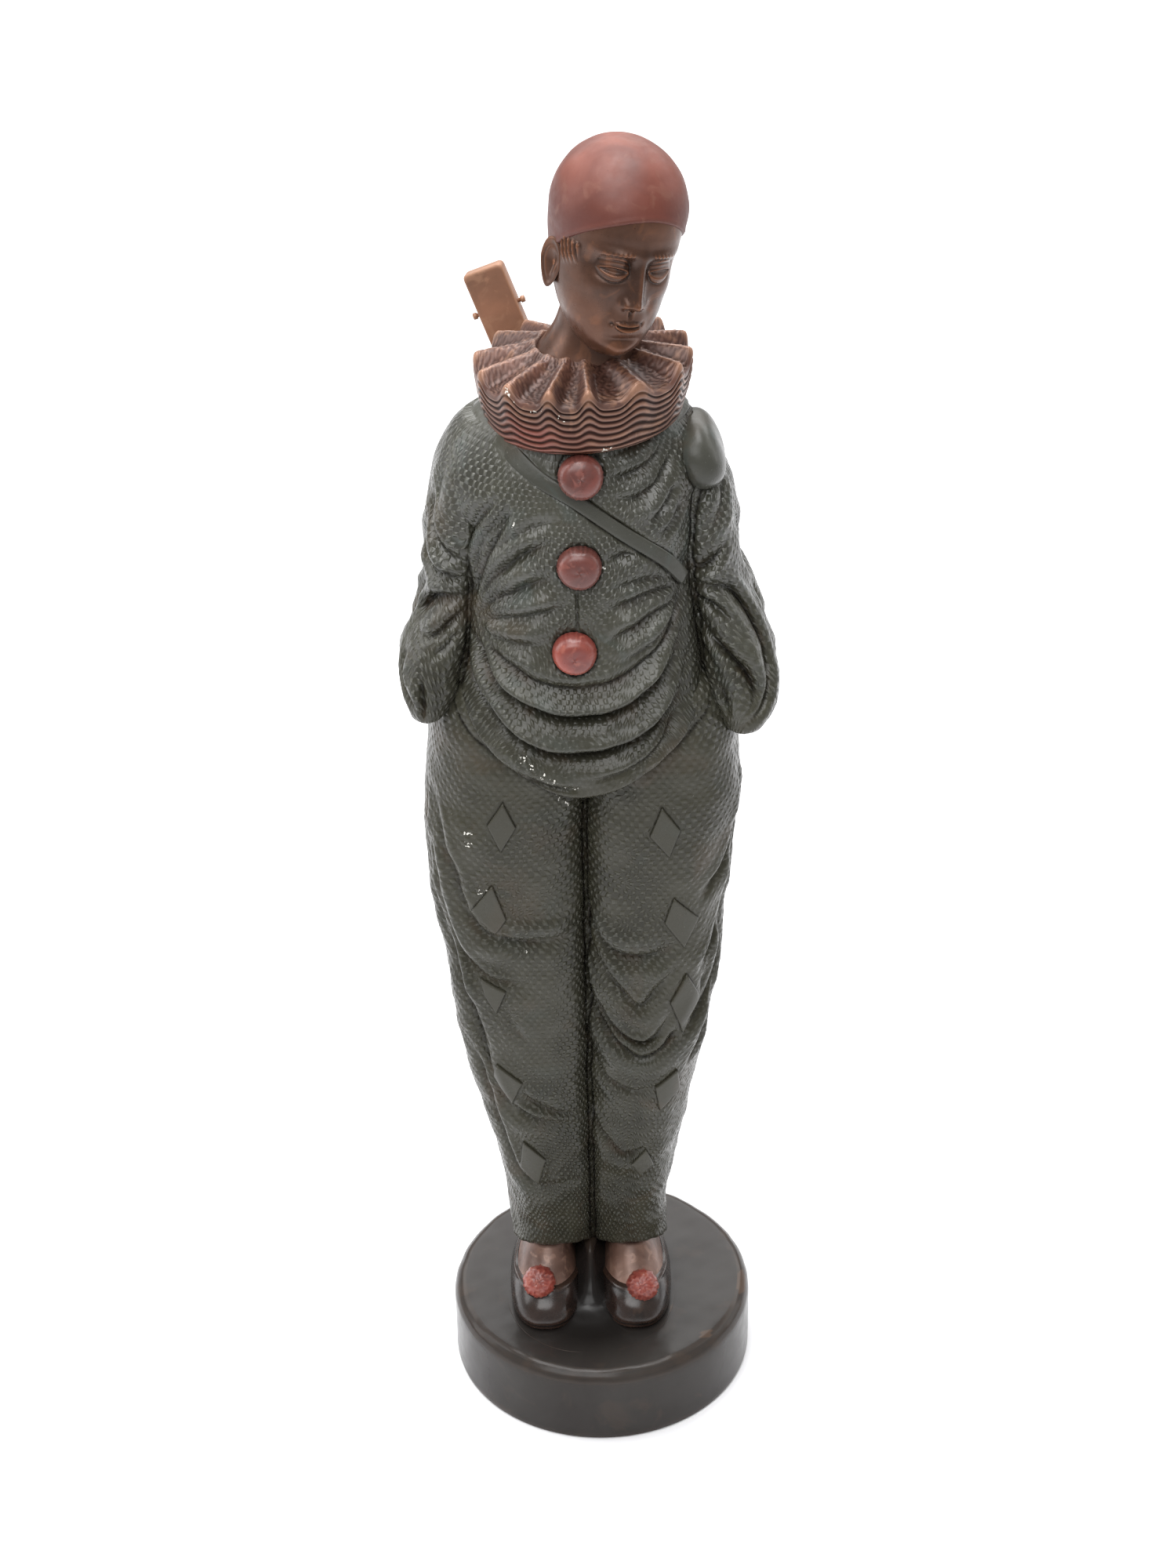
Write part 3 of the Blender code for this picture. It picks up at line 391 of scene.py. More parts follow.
RIGHT_LEG_FOLDS = [
    ([(-46, 372), (-40, 357), (-32, 344), (-20, 335), (-6, 333), (7, 338), (18, 350)], 5, 4, 8),
    ([(-50, 356), (-43, 339), (-30, 322), (-19, 306), (-6, 291), (4, 304), (14, 320),
      (25, 337)], 4, 3, 6),
    ([(-54, 340), (-48, 316), (-37, 290), (-22, 270), (-9, 259), (2, 258), (11, 270),
      (18, 296)], 8, 3, 8),
    ([(-54, 312), (-50, 292), (-34, 271), (-19, 255), (-4, 244), (10, 248), (21, 264),
      (36, 290), (44, 330)], 5.5, 4, 7),
    ([(-41, 237), (-26, 222), (-8, 213), (8, 217)], 3.5, 3, 6),
    ([(-46, 200), (-41, 180), (-24, 163), (-10, 151), (6, 153), (14, 164)], 4.5, 3, 7),
    ([(66, 470), (60, 438), (50, 405), (38, 388), (27, 374)], 5.5, 6, 4),
    ([(64, 436), (60, 390), (52, 350), (40, 326), (30, 310)], 5.5, 5, 4),
    ([(60, 360), (56, 313), (44, 288), (31, 266), (21, 250)], 4.5, 4, 4),
    ([(54, 300), (46, 250), (34, 226)], 4, 4, 4),
    ([(-40, 372), (-24, 352), (-6, 347), (8, 352)], -3.0, 6, 7),
    ([(-36, 282), (-18, 262), (-4, 252), (10, 258)], -2.0, 3, 4),
    ([(56, 470), (74, 410), (80, 340), (70, 270)], 4.5, 5, 6),
    ([(96, 440), (108, 350), (100, 250), (84, 190)], 4.5, 5, 8),
    ([(148, 398), (170, 360), (190, 365), (210, 400)], 5, 5, 8),
    ([(146, 290), (170, 246), (188, 250), (205, 290)], 5, 5, 8),
    ([(142, 182), (170, 150), (190, 156), (210, 190)], 5, 5, 8),
    ([(145, 112), (185, 90), (210, 110)], 4, 5, 7),
]
LEFT_SLEEVE_FOLDS = [
    ([(-52, 664), (-42, 648), (-27, 636), (-9, 628), (12, 620)], 5, 3, 6),
    ([(-64, 650), (-46, 626), (-26, 615), (-10, 613), (14, 611)], 6, 3, 6),
    ([(-46, 580), (-30, 591), (-15, 598), (14, 600)], 7, 4, 6),
    ([(-24, 567), (-7, 577), (3, 585), (15, 591)], 6, 4, 5),
    ([(-8, 560), (3, 570), (16, 582)], 4, 4, 5),
    ([(-14, 553), (-11, 542), (-8, 530), (-8, 519)], 5, 2.5, 2.5),
    ([(-44, 560), (-48, 548), (-34, 536), (-10, 525)], 4, 3, 4),
    ([(-60, 600), (-90, 566), (-130, 566)], 5, 5, 7),
    ([(-64, 640), (-95, 604), (-130, 612)], 5, 5, 7),
    ([(-34, 690), (-38, 668), (-30, 650)], 3, 4, 5),
]
RIGHT_SLEEVE_FOLDS = [
    ([(-20, 612), (-4, 615), (10, 621), (26, 631)], 5, 6, 3),
    ([(-25, 600), (-1, 603), (16, 600), (26, 588), (33, 572), (37, 555), (34, 541), (22, 525),
      (6, 516), (-14, 508)], 7, 4, 4),
    ([(-27, 594), (-11, 593), (0, 589), (14, 576)], 5, 3, 4),
    ([(-30, 586), (-20, 574), (-10, 566), (0, 556), (8, 547), (12, 536), (6, 526), (-12, 514)], 6.5, 4, 4),
    ([(-62, 556), (-56, 540), (-44, 522)], 4.5, 4, 4),
    ([(-20, 540), (-20, 530), (-24, 518)], 4.5, 2.5, 2.5),
    ([(-34, 570), (-24, 556), (-14, 546)], 3, 4, 4),
    ([(40, 676), (30, 656), (6, 640)], 4, 5, 5),
    ([(24, 688), (14, 668), (-4, 654)], 3.5, 4, 4),
    ([(70, 640), (95, 604), (130, 612)], 5, 5, 7),
    ([(90, 590), (110, 560), (140, 556)], 5, 5, 7),
]

# White chips on the cloth as (degrees from the front, height, radius).
JACKET_CHIPS = [
    (-27, 502, 7), (-23, 497, 8), (-18, 491, 7), (-14, 487, 7), (-9, 482, 8), (-3, 480, 7),
    (-32, 691, 6), (-27, 688, 6), (-23, 685, 6), (-18, 681, 6), (-13, 677, 5), (-33, 660, 5),
    (12, 633, 4), (26, 497, 4), (42, 560, 4),
]
LEFT_LEG_CHIPS = [
    (-23, 438, 6), (-22, 430, 8), (-18, 391, 8), (-11, 361, 4), (4, 341, 5), (27, 464, 7),
    (31, 458, 7),
]

# The camera's place in metres, its tilt up from looking straight down, and its roll.
CAMERA_PLACE = (-0.0024, -1.618, 1.50)
CAMERA_TILT_DEG = 58.2
CAMERA_ROLL_DEG = -1.2

# Soft lights as (name, place, point that they face, size, watts, colour).
WHITE = (1.0, 1.0, 1.0)
LIGHTS = [
    ("light_above", (-0.1, 0.2, 2.7), (0, 0, 0.5), (1.8, 1.5), 76, WHITE),
    ("light_left", (-2.3, 0.4, 1.7), (0, 0, 0.6), (1.2, 2.2), 24, WHITE),
    ("light_right", (2.4, 0.8, 1.5), (0, 0, 0.5), (1.2, 2.2), 14, (1.0, 0.99, 0.98)),
    ("light_front", (-0.5, -1.7, 2.5), (0, 0, 0.85), (2.2, 1.7), 50, WHITE),
    ("light_far_floor", (0.0, 4.6, 3.2), (0, 4.2, 0), (9.0, 4.0), 360, WHITE),
]

# The name of the shader's setting for shine, and the tints that lie over its first colours, some of them
# painted shade and painted highlights.
SPECULAR = "Specular IOR Level"
TINTS = {
    "bloom": (0.060, 0.078, 0.072),
    "painted_low_shade": (0.036, 0.033, 0.021),
    "knob_gap_shade": (0.017, 0.016, 0.011),
    "knob_top_highlight": (0.15, 0.16, 0.15),
    "worn_ridge": (0.13, 0.14, 0.135),
    "bare_metal": (0.055, 0.034, 0.018),
    "fold_shade": (0.014, 0.013, 0.009),
    "crease_dirt_and_shade": (0.006, 0.005, 0.004),
    "rubbed": (0.062, 0.046, 0.030),
    "speck": (0.2, 0.2, 0.18),
    "chip": (0.76, 0.74, 0.68),
    "ruff_chip": (0.78, 0.75, 0.68),
    "ruff_red": (0.19, 0.045, 0.032),
}


def smooth_values(keys, values, at):
    """Values read from a smooth curve through (key, value) points."""
    keys = np.asarray(keys, float)
    values = np.asarray(values, float)
    chords = np.diff(values) / np.diff(keys)
    slopes = np.concatenate([chords[:1], (chords[1:] + chords[:-1]) / 2, chords[-1:]])
    at = np.clip(at, keys[0], keys[-1])
    i = np.clip(np.searchsorted(keys, at, side="right") - 1, 0, len(keys) - 2)
    span = keys[i + 1] - keys[i]
    t = (at - keys[i]) / span
    rise = values[i + 1] - values[i]
    bow = t * (1 - t) * ((slopes[i] * span - rise) * (1 - t) - (slopes[i + 1] * span - rise) * t)
    return values[i] + rise * t + bow


def curve_at(points, stops):
    """The columns of a list of points, read from smooth curves at these stops along it."""
    return [smooth_values(range(len(points)), column, stops) for column in zip(*points)]


def profile_at(profile, z):
    """A profile's left, right, front, back and squareness at heights."""
    heights, *columns = zip(*profile)
    return [smooth_values(heights, column, z) for column in columns]


def ease(x):
    """A smooth step from 0 to 1."""
    x = np.clip(x, 0, 1)
    return x * x * (3 - 2 * x)


def bell(x, middle, reach):
    """A smooth bump that is 1 at its middle and fades out over its reach."""
    return np.exp(-((x - middle) / reach) ** 2)


def bell_at(x, y, middle, other_middle, reach, other_reach):
    """A smooth round bump in two directions."""
    return bell(x, middle, reach) * bell(y, other_middle, other_reach)


def full_turn(count):
    """Even steps of a whole turn, as one row."""
    return np.linspace(0, 2 * math.pi, count, endpoint=False)[None, :]


def down_rows(count, first=0, last=1):
    """Even steps from first to last, as one column."""
    return np.linspace(first, last, count)[:, None]


def ripple(u, v, size, seed):
    """Smooth irregular values from about -1 to 1 whose waves are about size long."""
    total = 0
    for i in range(6):
        turn = seed * 1.7 + i * 2.399
        beat = 2 * math.pi / size * (0.65 + 0.13 * i)
        total = total + np.sin(beat * (u * math.cos(turn) + v * math.sin(turn)) + seed * 5.1 + i * i)
    return total / 3


def beside_segment(start, end, offset, z, reach):
    """How far points are from a segment on a garment, the share of it that they have
    passed, and how far they are to its side. The offset is their angle from its start."""
    du = math.radians(end[0] - start[0]) * reach
    dv = end[1] - start[1]
    u = np.radians(offset) * reach
    v = z - start[1]
    passed = np.clip((u * du + v * dv) / (du * du + dv * dv), 0, 1)
    gap = np.hypot(u - passed * du, v - passed * dv)
    return gap, passed, (du * v - dv * u) / math.hypot(du, dv)


def fade_share(end):
    """The share of a fold over which it fades, from the angle at which it ends."""
    return QUICK_FADE if abs(end) > QUICK_FADE_FROM else SLOW_FADE


def along_folds(folds, angle, z, reach):
    """How far the folds move a garment's surface outwards, and how deep in a crease it is."""
    lift = np.zeros(np.broadcast(angle, z).shape)
    crease = np.zeros(lift.shape)
    for points, depth, above, below in folds:
        a, b = curve_at(points, np.linspace(0, len(points) - 1, 4 * len(points)))
        line = list(zip(a, b))
        nearest = np.full(lift.shape, FAR)
        along = np.zeros(lift.shape)
        side = np.zeros(lift.shape)
        for i, (start, end) in enumerate(zip(line, line[1:])):
            offset = (angle - start[0] + 180) % 360 - 180
            gap, passed, aside = beside_segment(start, end, offset, z, reach)
            closer = gap < nearest
            along = np.where(closer, (i + passed) / (len(line) - 1), along)
            side = np.where(closer, aside, side)
            nearest = np.minimum(gap, nearest)
        width = np.where(side > 0, above, below)
        begin = ease(along / fade_share(a[0]) + 0.15)
        fade = begin * ease((1 - along) / fade_share(a[-1]) + 0.15)
        if depth > 0:
            bowl = 0.6 * np.exp(-nearest / width) + 0.4 * bell(nearest, 0, 0.45 * width)
            lift -= depth * fade * bowl
            lift += 0.4 * depth * fade * bell(nearest, 1.8 * width, width)
            crease = np.maximum(crease, min(depth / 7, 1) * fade * np.exp(-nearest / 1.5))
        else:
            lift -= depth * fade * bell(nearest, 0, width)
    return lift, crease


def knob_steps(u, v):
    """Where a point is among the cloth's staggered knobs, counted across and down."""
    wander = 1.5 * ripple(u, v, 46, 3)
    return u / KNOB_ACROSS + 0.5 * ripple(u, v, 17, 5), (v + wander) / KNOB_ROW


def garment_points(profile, angle, z, lift):
    """Points of a garment's surface at angles round it and heights, lifted outwards."""
    left, right, front, back, power = profile_at(profile, z)
    sine = np.sin(np.radians(angle))
    cosine = np.cos(np.radians(angle))
    across = (np.abs(sine) * 2 / (right - left)) ** power
    deep = (np.abs(cosine) * 2 / (back - front)) ** power
    radius = (across + deep) ** (-1 / power) + lift
    x = (left + right) / 2 + radius * sine
    y = (front + back) / 2 - radius * cosine
    return np.stack([x, y, z], -1)


def round_angles(columns, crowd=0.0):
    """Angles all round, closer together in front."""
    share = np.linspace(-1, 1, columns, endpoint=False)
    return (180 * (share - crowd * np.sin(math.pi * share) / math.pi))[None, :]


def world(points):
    """From units of the figure to metres in the part's frame."""
    return np.asarray(points, float) * U + SOLES


def from_world(points):
    """From metres in the part's frame to units of the figure."""
    return (points - SOLES) / U


def wrapped_faces(rows, columns, first):
    """Four-cornered faces of a grid that wraps round, whose first point has this number."""
    number = first + np.arange(rows * columns).reshape(rows, columns)
    beside = np.roll(number, -1, axis=1)
    return np.stack([number[:-1], number[1:], beside[1:], beside[:-1]], -1).reshape(-1, 4)


def fan_faces(ring, middle, forward):
    """Triangles from a ring of point numbers to one middle point."""
    beside = np.roll(ring, -1)
    pair = (ring, beside) if forward else (beside, ring)
    return np.stack([*pair, np.full(len(ring), middle)], -1)


def mesh_from(name, points, quads, triangles, marks):
    """A smooth mesh from points in metres, faces as point numbers and per-point marks."""
    corners = np.concatenate([quads.ravel(), triangles.ravel()]).astype(np.int32)
    sizes = np.concatenate([np.full(len(quads), 4), np.full(len(triangles), 3)])
    starts = (np.cumsum(sizes) - sizes).astype(np.int32)
    mesh = bpy.data.meshes.new(name)
    mesh.vertices.add(len(points))
    mesh.vertices.foreach_set("co", points.astype(np.float32).ravel())
    mesh.loops.add(len(corners))
    mesh.loops.foreach_set("vertex_index", corners)
    mesh.polygons.add(len(sizes))
    mesh.polygons.foreach_set("loop_start", starts)
    mesh.polygons.foreach_set("use_smooth", np.ones(len(sizes), bool))
    mesh.update(calc_edges=True)
    for mark, values in marks.items():
        layer = mesh.attributes.new(mark, "FLOAT", "POINT")
        layer.data.foreach_set("value", values.astype(np.float32))
    return mesh


def put(name, data):
    """A new object in the scene."""
    thing = bpy.data.objects.new(name, data)
    bpy.context.scene.collection.objects.link(thing)
    return thing


def add_piece(name, grids, look, node, marks=None):
    """One piece from closed grids that wrap round, which stands for a CAD node."""
    points = []
    quads = []
    triangles = []
    values = {mark: [] for mark in (marks or {})}
    first = 0
    for k, grid in enumerate(grids):
        rows, columns = grid.shape[:2]
        own = np.concatenate([grid.reshape(-1, 3), grid[0].mean(0)[None], grid[-1].mean(0)[None]])
        sides = wrapped_faces(rows, columns, 0)
        ring = np.arange(columns)
        last = rows * columns
        top = fan_faces(ring, last, True)
        bottom = fan_faces(last - columns + ring, last + 1, False)
        ends = np.concatenate([top, bottom])
        corner = (own - own.mean(0))[np.concatenate([sides[:, [0, 1, 2]], sides[:, [0, 2, 3]]])]
        if np.einsum("ij,ij->i", corner[:, 0], np.cross(corner[:, 1], corner[:, 2])).sum() < 0:
            sides = sides[:, ::-1]
            ends = ends[:, ::-1]
        points.append(own)
        quads.append(sides + first)
        triangles.append(ends + first)
        for mark in values:
            field = marks[mark][k]
            values[mark] += [field.ravel(), [field[0].mean()], [field[-1].mean()]]
        first = first + last + 2
    points = world(np.concatenate(points))
    values = {mark: np.concatenate(parts) for mark, parts in values.items()}
    mesh = mesh_from(name, points, np.concatenate(quads), np.concatenate(triangles), values)
    mesh.materials.append(look)
    piece = put(name, mesh)
    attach(piece, "root")
    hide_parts(node)
    return piece


def add_mandolin(name, grids, look):
    """A piece of the mandolin from grids in its own frame."""
    add_piece(name, [in_mandolin(grid) for grid in grids], look, "mandolin")


def chip_field(chips, angle, z, reach):
    """Where old white chips show, from 0 to 1."""
    field = np.zeros(np.broadcast(angle, z).shape)
    for middle, height, size in chips:
        u = np.radians(angle - middle) * reach
        field = np.maximum(field, 1 - np.hypot(u, z - height) / size)
    return np.clip(field, 0, 1)


def level(height):
    """A hem at one height all round."""
    return lambda angle: height + 0 * angle


def jacket_hem(angle):
    """The jacket's hem: a deep curve in front and a shallower one behind."""
    turn = np.abs(angle)
    front = HEM_FRONT_DROP * (1 - np.minimum(turn / HEM_FRONT_REACH, 1) ** 2)
    back = HEM_BACK_DROP * ease((turn - 90) / 90)
    return HEM_SIDE - front - back


def trouser_hem(angle):
    """A trouser leg's hem: high over the instep, low at the heel, and a little uneven."""
    turn = np.radians(angle)
    uneven = 0.9 * np.sin(7 * turn) * np.cos(3 * turn) + 0.35 * np.sin(23 * turn)
    return 31 + 17 * np.cos(turn) + uneven


def strap_gap(angle, z):
    """The distance from the middle of the chest strap."""
    nearest = np.full(np.broadcast(angle, z).shape, FAR)
    for start, end in zip(STRAP, STRAP[1:]):
        gap = beside_segment(start, end, angle - start[0], z, JACKET_REACH)[0]
        nearest = np.minimum(nearest, gap)
    return nearest


def lozenge_gap(lozenges, angle, z, reach):
    """The distance outside the nearest lozenge, less than nought inside one."""
    nearest = np.full(np.broadcast(angle, z).shape, 99.0)
    for corners in lozenges:
        outside = np.full(nearest.shape, -99.0)
        for start, end in zip(corners, corners[1:] + corners[:1]):
            aside = beside_segment(start, end, angle - start[0], z, reach)[2]
            outside = np.maximum(outside, aside)
        nearest = np.minimum(nearest, outside)
    return nearest


def meeting(points, profile, spread):
    """How close points are to where another form comes through, from 0 to 1."""
    z = points[..., 2]
    left, right, front, back, power = profile_at(profile, z)
    across = (np.abs(points[..., 0] - (left + right) / 2) * 2 / (right - left)) ** power
    deep = (np.abs(points[..., 1] - (front + back) / 2) * 2 / (back - front)) ** power
    gap = ((across + deep) ** (1 / power) - 1) * (right - left) / 2
    return np.exp(-np.abs(gap) / spread) * (z > profile[0][0]) * (z < profile[-1][0])


def under_jacket(points):
    """How close points of the trousers are to the jacket's edge, from 0 to 1."""
    angle = np.degrees(np.arctan2(points[..., 0] + 1, 2 - points[..., 1]))
    hem = np.exp(-np.abs(jacket_hem(angle) - 1.5 - points[..., 2]) / 1.8)
    return hem * ease((HEM_FRONT_REACH - np.abs(angle)) / 10)


def behind_mandolin(points):
    """The costume's points, pressed in where the mandolin's body lies on the back."""
    matrix = mandolin_matrix()
    local = (world(points) - matrix[:3, 3]) @ matrix[:3, :3]
    half = MANDOLIN_BODY_WIDTH / 2
    bend = MANDOLIN_BODY_LENGTH - half
    below = -MANDOLIN_HEAD_LENGTH - MANDOLIN_NECK_LENGTH - local[..., 2]
    taper = MANDOLIN_NECK_WIDTH / 2 + (half - MANDOLIN_NECK_WIDTH / 2) * np.clip(below / bend, 0, 1)
    over_side = np.abs(local[..., 0]) - taper
    over_bowl = np.hypot(local[..., 0], below - bend) - half
    outside = np.where(below < bend, np.minimum(over_side, over_bowl), over_bowl)
    outside = np.maximum(outside, -below)
    limit = MANDOLIN_BODY_DEPTH * 0.4 + 1.5 * np.maximum(outside, 0)
    pressed = np.maximum(local[..., 1] - limit, 0) * (outside < 0.02) * (local[..., 1] < 0.06)
    return points - (pressed / U)[..., None] * matrix[:3, 1]


def contacts(points):
    """How close points are to the edges of the buttons and the flap, from 0 to 1."""
    shade = np.zeros(points.shape[:-1])
    for x, y, z, tilt, radius, height in BUTTONS:
        gap = np.hypot(points[..., 0] - x, points[..., 2] - z) - radius
        shade = np.maximum(shade, np.exp(-np.abs(gap) / 1.3) * (points[..., 1] < 0))
    reach = (points - np.array(FLAP_CENTRE)) / np.array(FLAP_SIZE)
    gap = (np.linalg.norm(reach, axis=-1) - 1) * FLAP_SIZE[0]
    return np.maximum(shade, np.exp(-np.abs(gap) / 1.2))


def rounded_hem(to_hem, lip):
    """How a surface turns in towards its hem."""
    return -lip * np.maximum(0, 1 - to_hem / (1.6 * lip)) ** 2


def cloth(name, profile, top, hem, size, folds, reach, beside, chips=(), lozenges=(), strap=False):
    """A garment: its folds, its knobbly cloth and a rounded hem."""
    rows, columns = size
    angle = round_angles(columns, 0.35)
    share = down_rows(rows)
    z = top + (hem(angle) - top) * share
    to_hem = (1 - share) * (top - hem(angle))
    edge = 1.2 * bell(to_hem, 0, 7) + rounded_hem(to_hem, HEM_LIP)
    fold, crease = along_folds(folds, angle, z, reach)
    u = np.radians(angle) * reach + 0 * z
    outside = lozenge_gap(lozenges, angle, z, reach)
    flat = ease(outside / 7)
    fold = fold * (0.3 + 0.7 * flat)
    crease = np.maximum(crease * flat, 0.8 * np.exp(-np.abs(outside) / 0.9))
    lumps = flat * (0.42 * ripple(u, z, 21, 4) + 0.9 * ripple(u, z, 52, 7))
    calm = ease(0.55 + 0.55 * ripple(u, z, 90, 2) + 0.35 * ripple(u, z, 37, 6))
    calm = calm * (1 - 0.5 * ease((z - 640) / 40))
    outer = 0.5 * ease((np.abs(angle) - 32) / 20)
    knobby = (0.4 + 0.6 * np.maximum(calm, outer)) * ease(outside / 2)
    knobby = knobby * ease((178 - np.abs(angle)) / 4)
    if strap:
        gap = strap_gap(angle, z)
        knobby = knobby * ease((gap - 4) / 5) * ease((716 - z) / 14)
        groove = bell(gap, STRAP_WIDTH / 2, 1.1) * ease((angle + 42) / 40)
        fold = fold * (0.35 + 0.65 * ease((gap - 5) / 6)) - 1.3 * groove
        crease = np.maximum(crease * ease((gap - 4) / 3), 0.9 * groove)
    steps = np.hypot(np.diff(z, axis=0), np.diff(fold, axis=0))
    run = np.concatenate([np.zeros((1, columns)), np.cumsum(steps, axis=0)])
    across, down = knob_steps(u, top - run)
    knob = np.clip(np.cos(math.pi * across) * np.cos(math.pi * down), 0, 1) ** 0.7 * knobby
    waist = WAIST_TUCK * ease((z - WAIST_FROM) / 26) if lozenges else 0
    lift = fold + edge + KNOB_HEIGHT * knob + lumps - waist
    points = garment_points(profile, angle + 0 * z, z, lift)
    near = np.zeros(points.shape[:-1])
    for other in beside:
        near = np.maximum(near, meeting(points, other, 13))
    knobby = np.clip(knobby * (0.65 + 1.4 * near ** 0.7), 0, 1)
    smooth_shoulder = ease((z - 610) / 40) * (points[..., 0] < 0)
    lift = lift + (6 * smooth_shoulder - 2.2) * near ** 1.5
    points = garment_points(profile, angle + 0 * z, z, lift)
    meet = contacts(points)
    if lozenges:
        meet = np.maximum(meet, 0.9 * under_jacket(points))
    shade = 0.7 * np.exp(-to_hem / 5)
    for other in beside:
        apart = 1 - 0.95 * smooth_shoulder
        meet = np.maximum(meet, apart * meeting(points, other, 1.2))
        shade = np.maximum(shade, 0.5 * apart * meeting(points, other, 4))
    points = behind_mandolin(garment_points(profile, angle + 0 * z, z, lift - 1.2 * meet))
    # The hollow mark carries painted shade in the folds, near the hem and where forms meet; the crease
    # mark carries dirt and painted shade along creases, hems, edges and joins.
    marks = {
        "hollow": [np.clip(-fold / 6, -0.6, 1.2) + 0.7 * shade],
        "crease": [np.maximum(crease, np.maximum(meet, np.exp(-to_hem / 2.6)))],
        "across": [across],
        "down": [down],
        "knobby": [knobby],
        "chip": [chip_field(chips, angle, z, reach)],
    }
    return add_piece(name, [points], COSTUME, "figure", marks)


def plain_loft(profile, top, hem, rows, columns, lip=1.0, relief=None, crowd=0.0):
    """A smooth closed loft of a profile, with an optional relief of (angle, height)."""
    angle = round_angles(columns, crowd)
    share = down_rows(rows)
    start = top(angle)
    z = start + (hem(angle) - start) * share
    to_hem = (1 - share) * (start - hem(angle))
    lift = rounded_hem(to_hem, lip) + (relief(angle, z) if relief else 0)
    return garment_points(profile, angle + 0 * z, z, lift + 0 * angle)


def head_frame():
    """The head's rotation: it turns, leans to one side and nods."""
    turn = Matrix.Rotation(math.radians(HEAD_TURN_DEG), 3, "Z")
    lean = Matrix.Rotation(math.radians(HEAD_LEAN_DEG), 3, "Y")
    nod = Matrix.Rotation(math.radians(HEAD_NOD_DEG), 3, "X")
    return np.array(turn @ lean @ nod)


def place_head(points):
    """From the head's own frame to the figure's."""
    return (points * np.array([1, 1, HEAD_TALL])) @ head_frame().T + np.array(HEAD_CENTRE)


def face_relief(x, z):
    """The features of a calm, plain face: how far each point stands forward."""
    lift = 0 * x
    for across, up, wide, tall, height in FACE_FORMS:
        for side in (-1, 1) if across else (1,):
            lift = lift + height * bell_at(x, z, side * across, up, wide, tall)
    away = np.abs(x)
    eye = (away - 15) / 9.5
    inside = np.clip(1 - eye * eye, 0, 1)
    upper = 0.6 + 3.0 * inside ** 0.8
    lower = 0.2 - 3.4 * inside ** 0.8
    ball = 4.6 * np.clip(1 - ((away - 15) / 9) ** 2 - ((z - 0.2) / 8.0) ** 2, 0, 1) ** 0.6
    opening = ease((upper - 2.4 - z) / 0.7) * ease((z - lower) / 0.7) * ease(inside * 6)
    lid_fold = bell(z, upper + 1.7, 0.8) * ease(inside * 3)
    lid_edge = bell(z, upper - 2.6, 0.9) * ease(inside * 4)
    under = bell(z, lower - 0.9, 0.9) * ease(inside * 4)
    pouch = bell(z, lower - 4.5, 1.2) * ease(inside * 2)
    lift = lift + ball - 1.1 * opening - 0.9 * lid_fold + 0.6 * lid_edge + 0.6 * under - 0.35 * pouch
    brow = bell(z, 9.5 + 1.5 * np.cos(away / 9), 1.5)
    brow = brow * ease((away - 4) / 5) * ease((27 - away) / 7)
    lift = lift + 0.8 * brow * (1 + 0.3 * np.sin(away * 2.4 + z))
    half = 9.5
    mouth = np.clip(1 - (x / half) ** 2, 0, 1)
    line = -33.2 + 0.7 * (x / half) ** 2
    top_lip = line + 3.1 * mouth ** 0.7 * (1 - 0.22 * bell(x, 0, 1.6))
    low_lip = line - 3.6 * mouth ** 0.8
    above = np.clip((z - line) / np.maximum(top_lip - line, 0.3), 0, 1)
    below = np.clip((line - z) / np.maximum(line - low_lip, 0.3), 0, 1)
    full = ease(mouth * 3)
    lift = lift + 2.4 * full * np.sin(math.pi * np.where(z > line, above, 0)) ** 0.8 * (z > line)
    lift = lift + 2.9 * full * np.sin(math.pi * np.where(z <= line, below, 0)) ** 0.8 * (z <= line)
    lift = lift - 1.5 * bell(z, line, 0.7) * ease((half + 1.5 - away) / 3)
    lift = lift - bell_at(away, z, half + 0.6, line, 1.3, 1.5)
    nostril = bell_at(away, z, 3.2, -22.0, 1.5, 1.0)
    wing = bell_at(away, z, 7.6, -19.0, 0.9, 2.6)
    return lift - 1.8 * nostril - 1.3 * wing


def head_grid(rows, columns):
    """The bare head, from its crown to under the chin, with closer points in the face."""
    crown = HEAD[-1][0]
    chin = HEAD[0][0]
    angle = round_angles(columns, 0.62)
    share = down_rows(rows)
    share = share + 0.06 * np.sin(2 * math.pi * share)
    z = (crown + chin) / 2 + (crown - chin) / 2 * np.cos(math.pi * share)
    points = garment_points(HEAD, angle + 0 * z, z + 0 * angle, 0 * z * angle)
    ahead = ease((-points[..., 1] - 6) / 22)
    relief = ahead * face_relief(points[..., 0], points[..., 2])
    points[..., 1] -= relief
    lock = ease((angle + 84) / 5) * ease((-52 - angle) / 4)
    lock = lock * ease((z + 9 - 0.25 * (angle + 68)) / 7) * ease((8 - z) / 3)
    strands = lock * (1.0 + 0.9 * np.cos(2 * math.pi * (angle + 0.5 * z) / 6.6))
    points[..., 0] -= 1.1 * strands
    points[..., 1] -= 0.5 * strands
    points[..., 2] -= 0.12 * np.clip(relief, 0, 9) * bell(points[..., 0], 0, 6)
    return place_head(points)


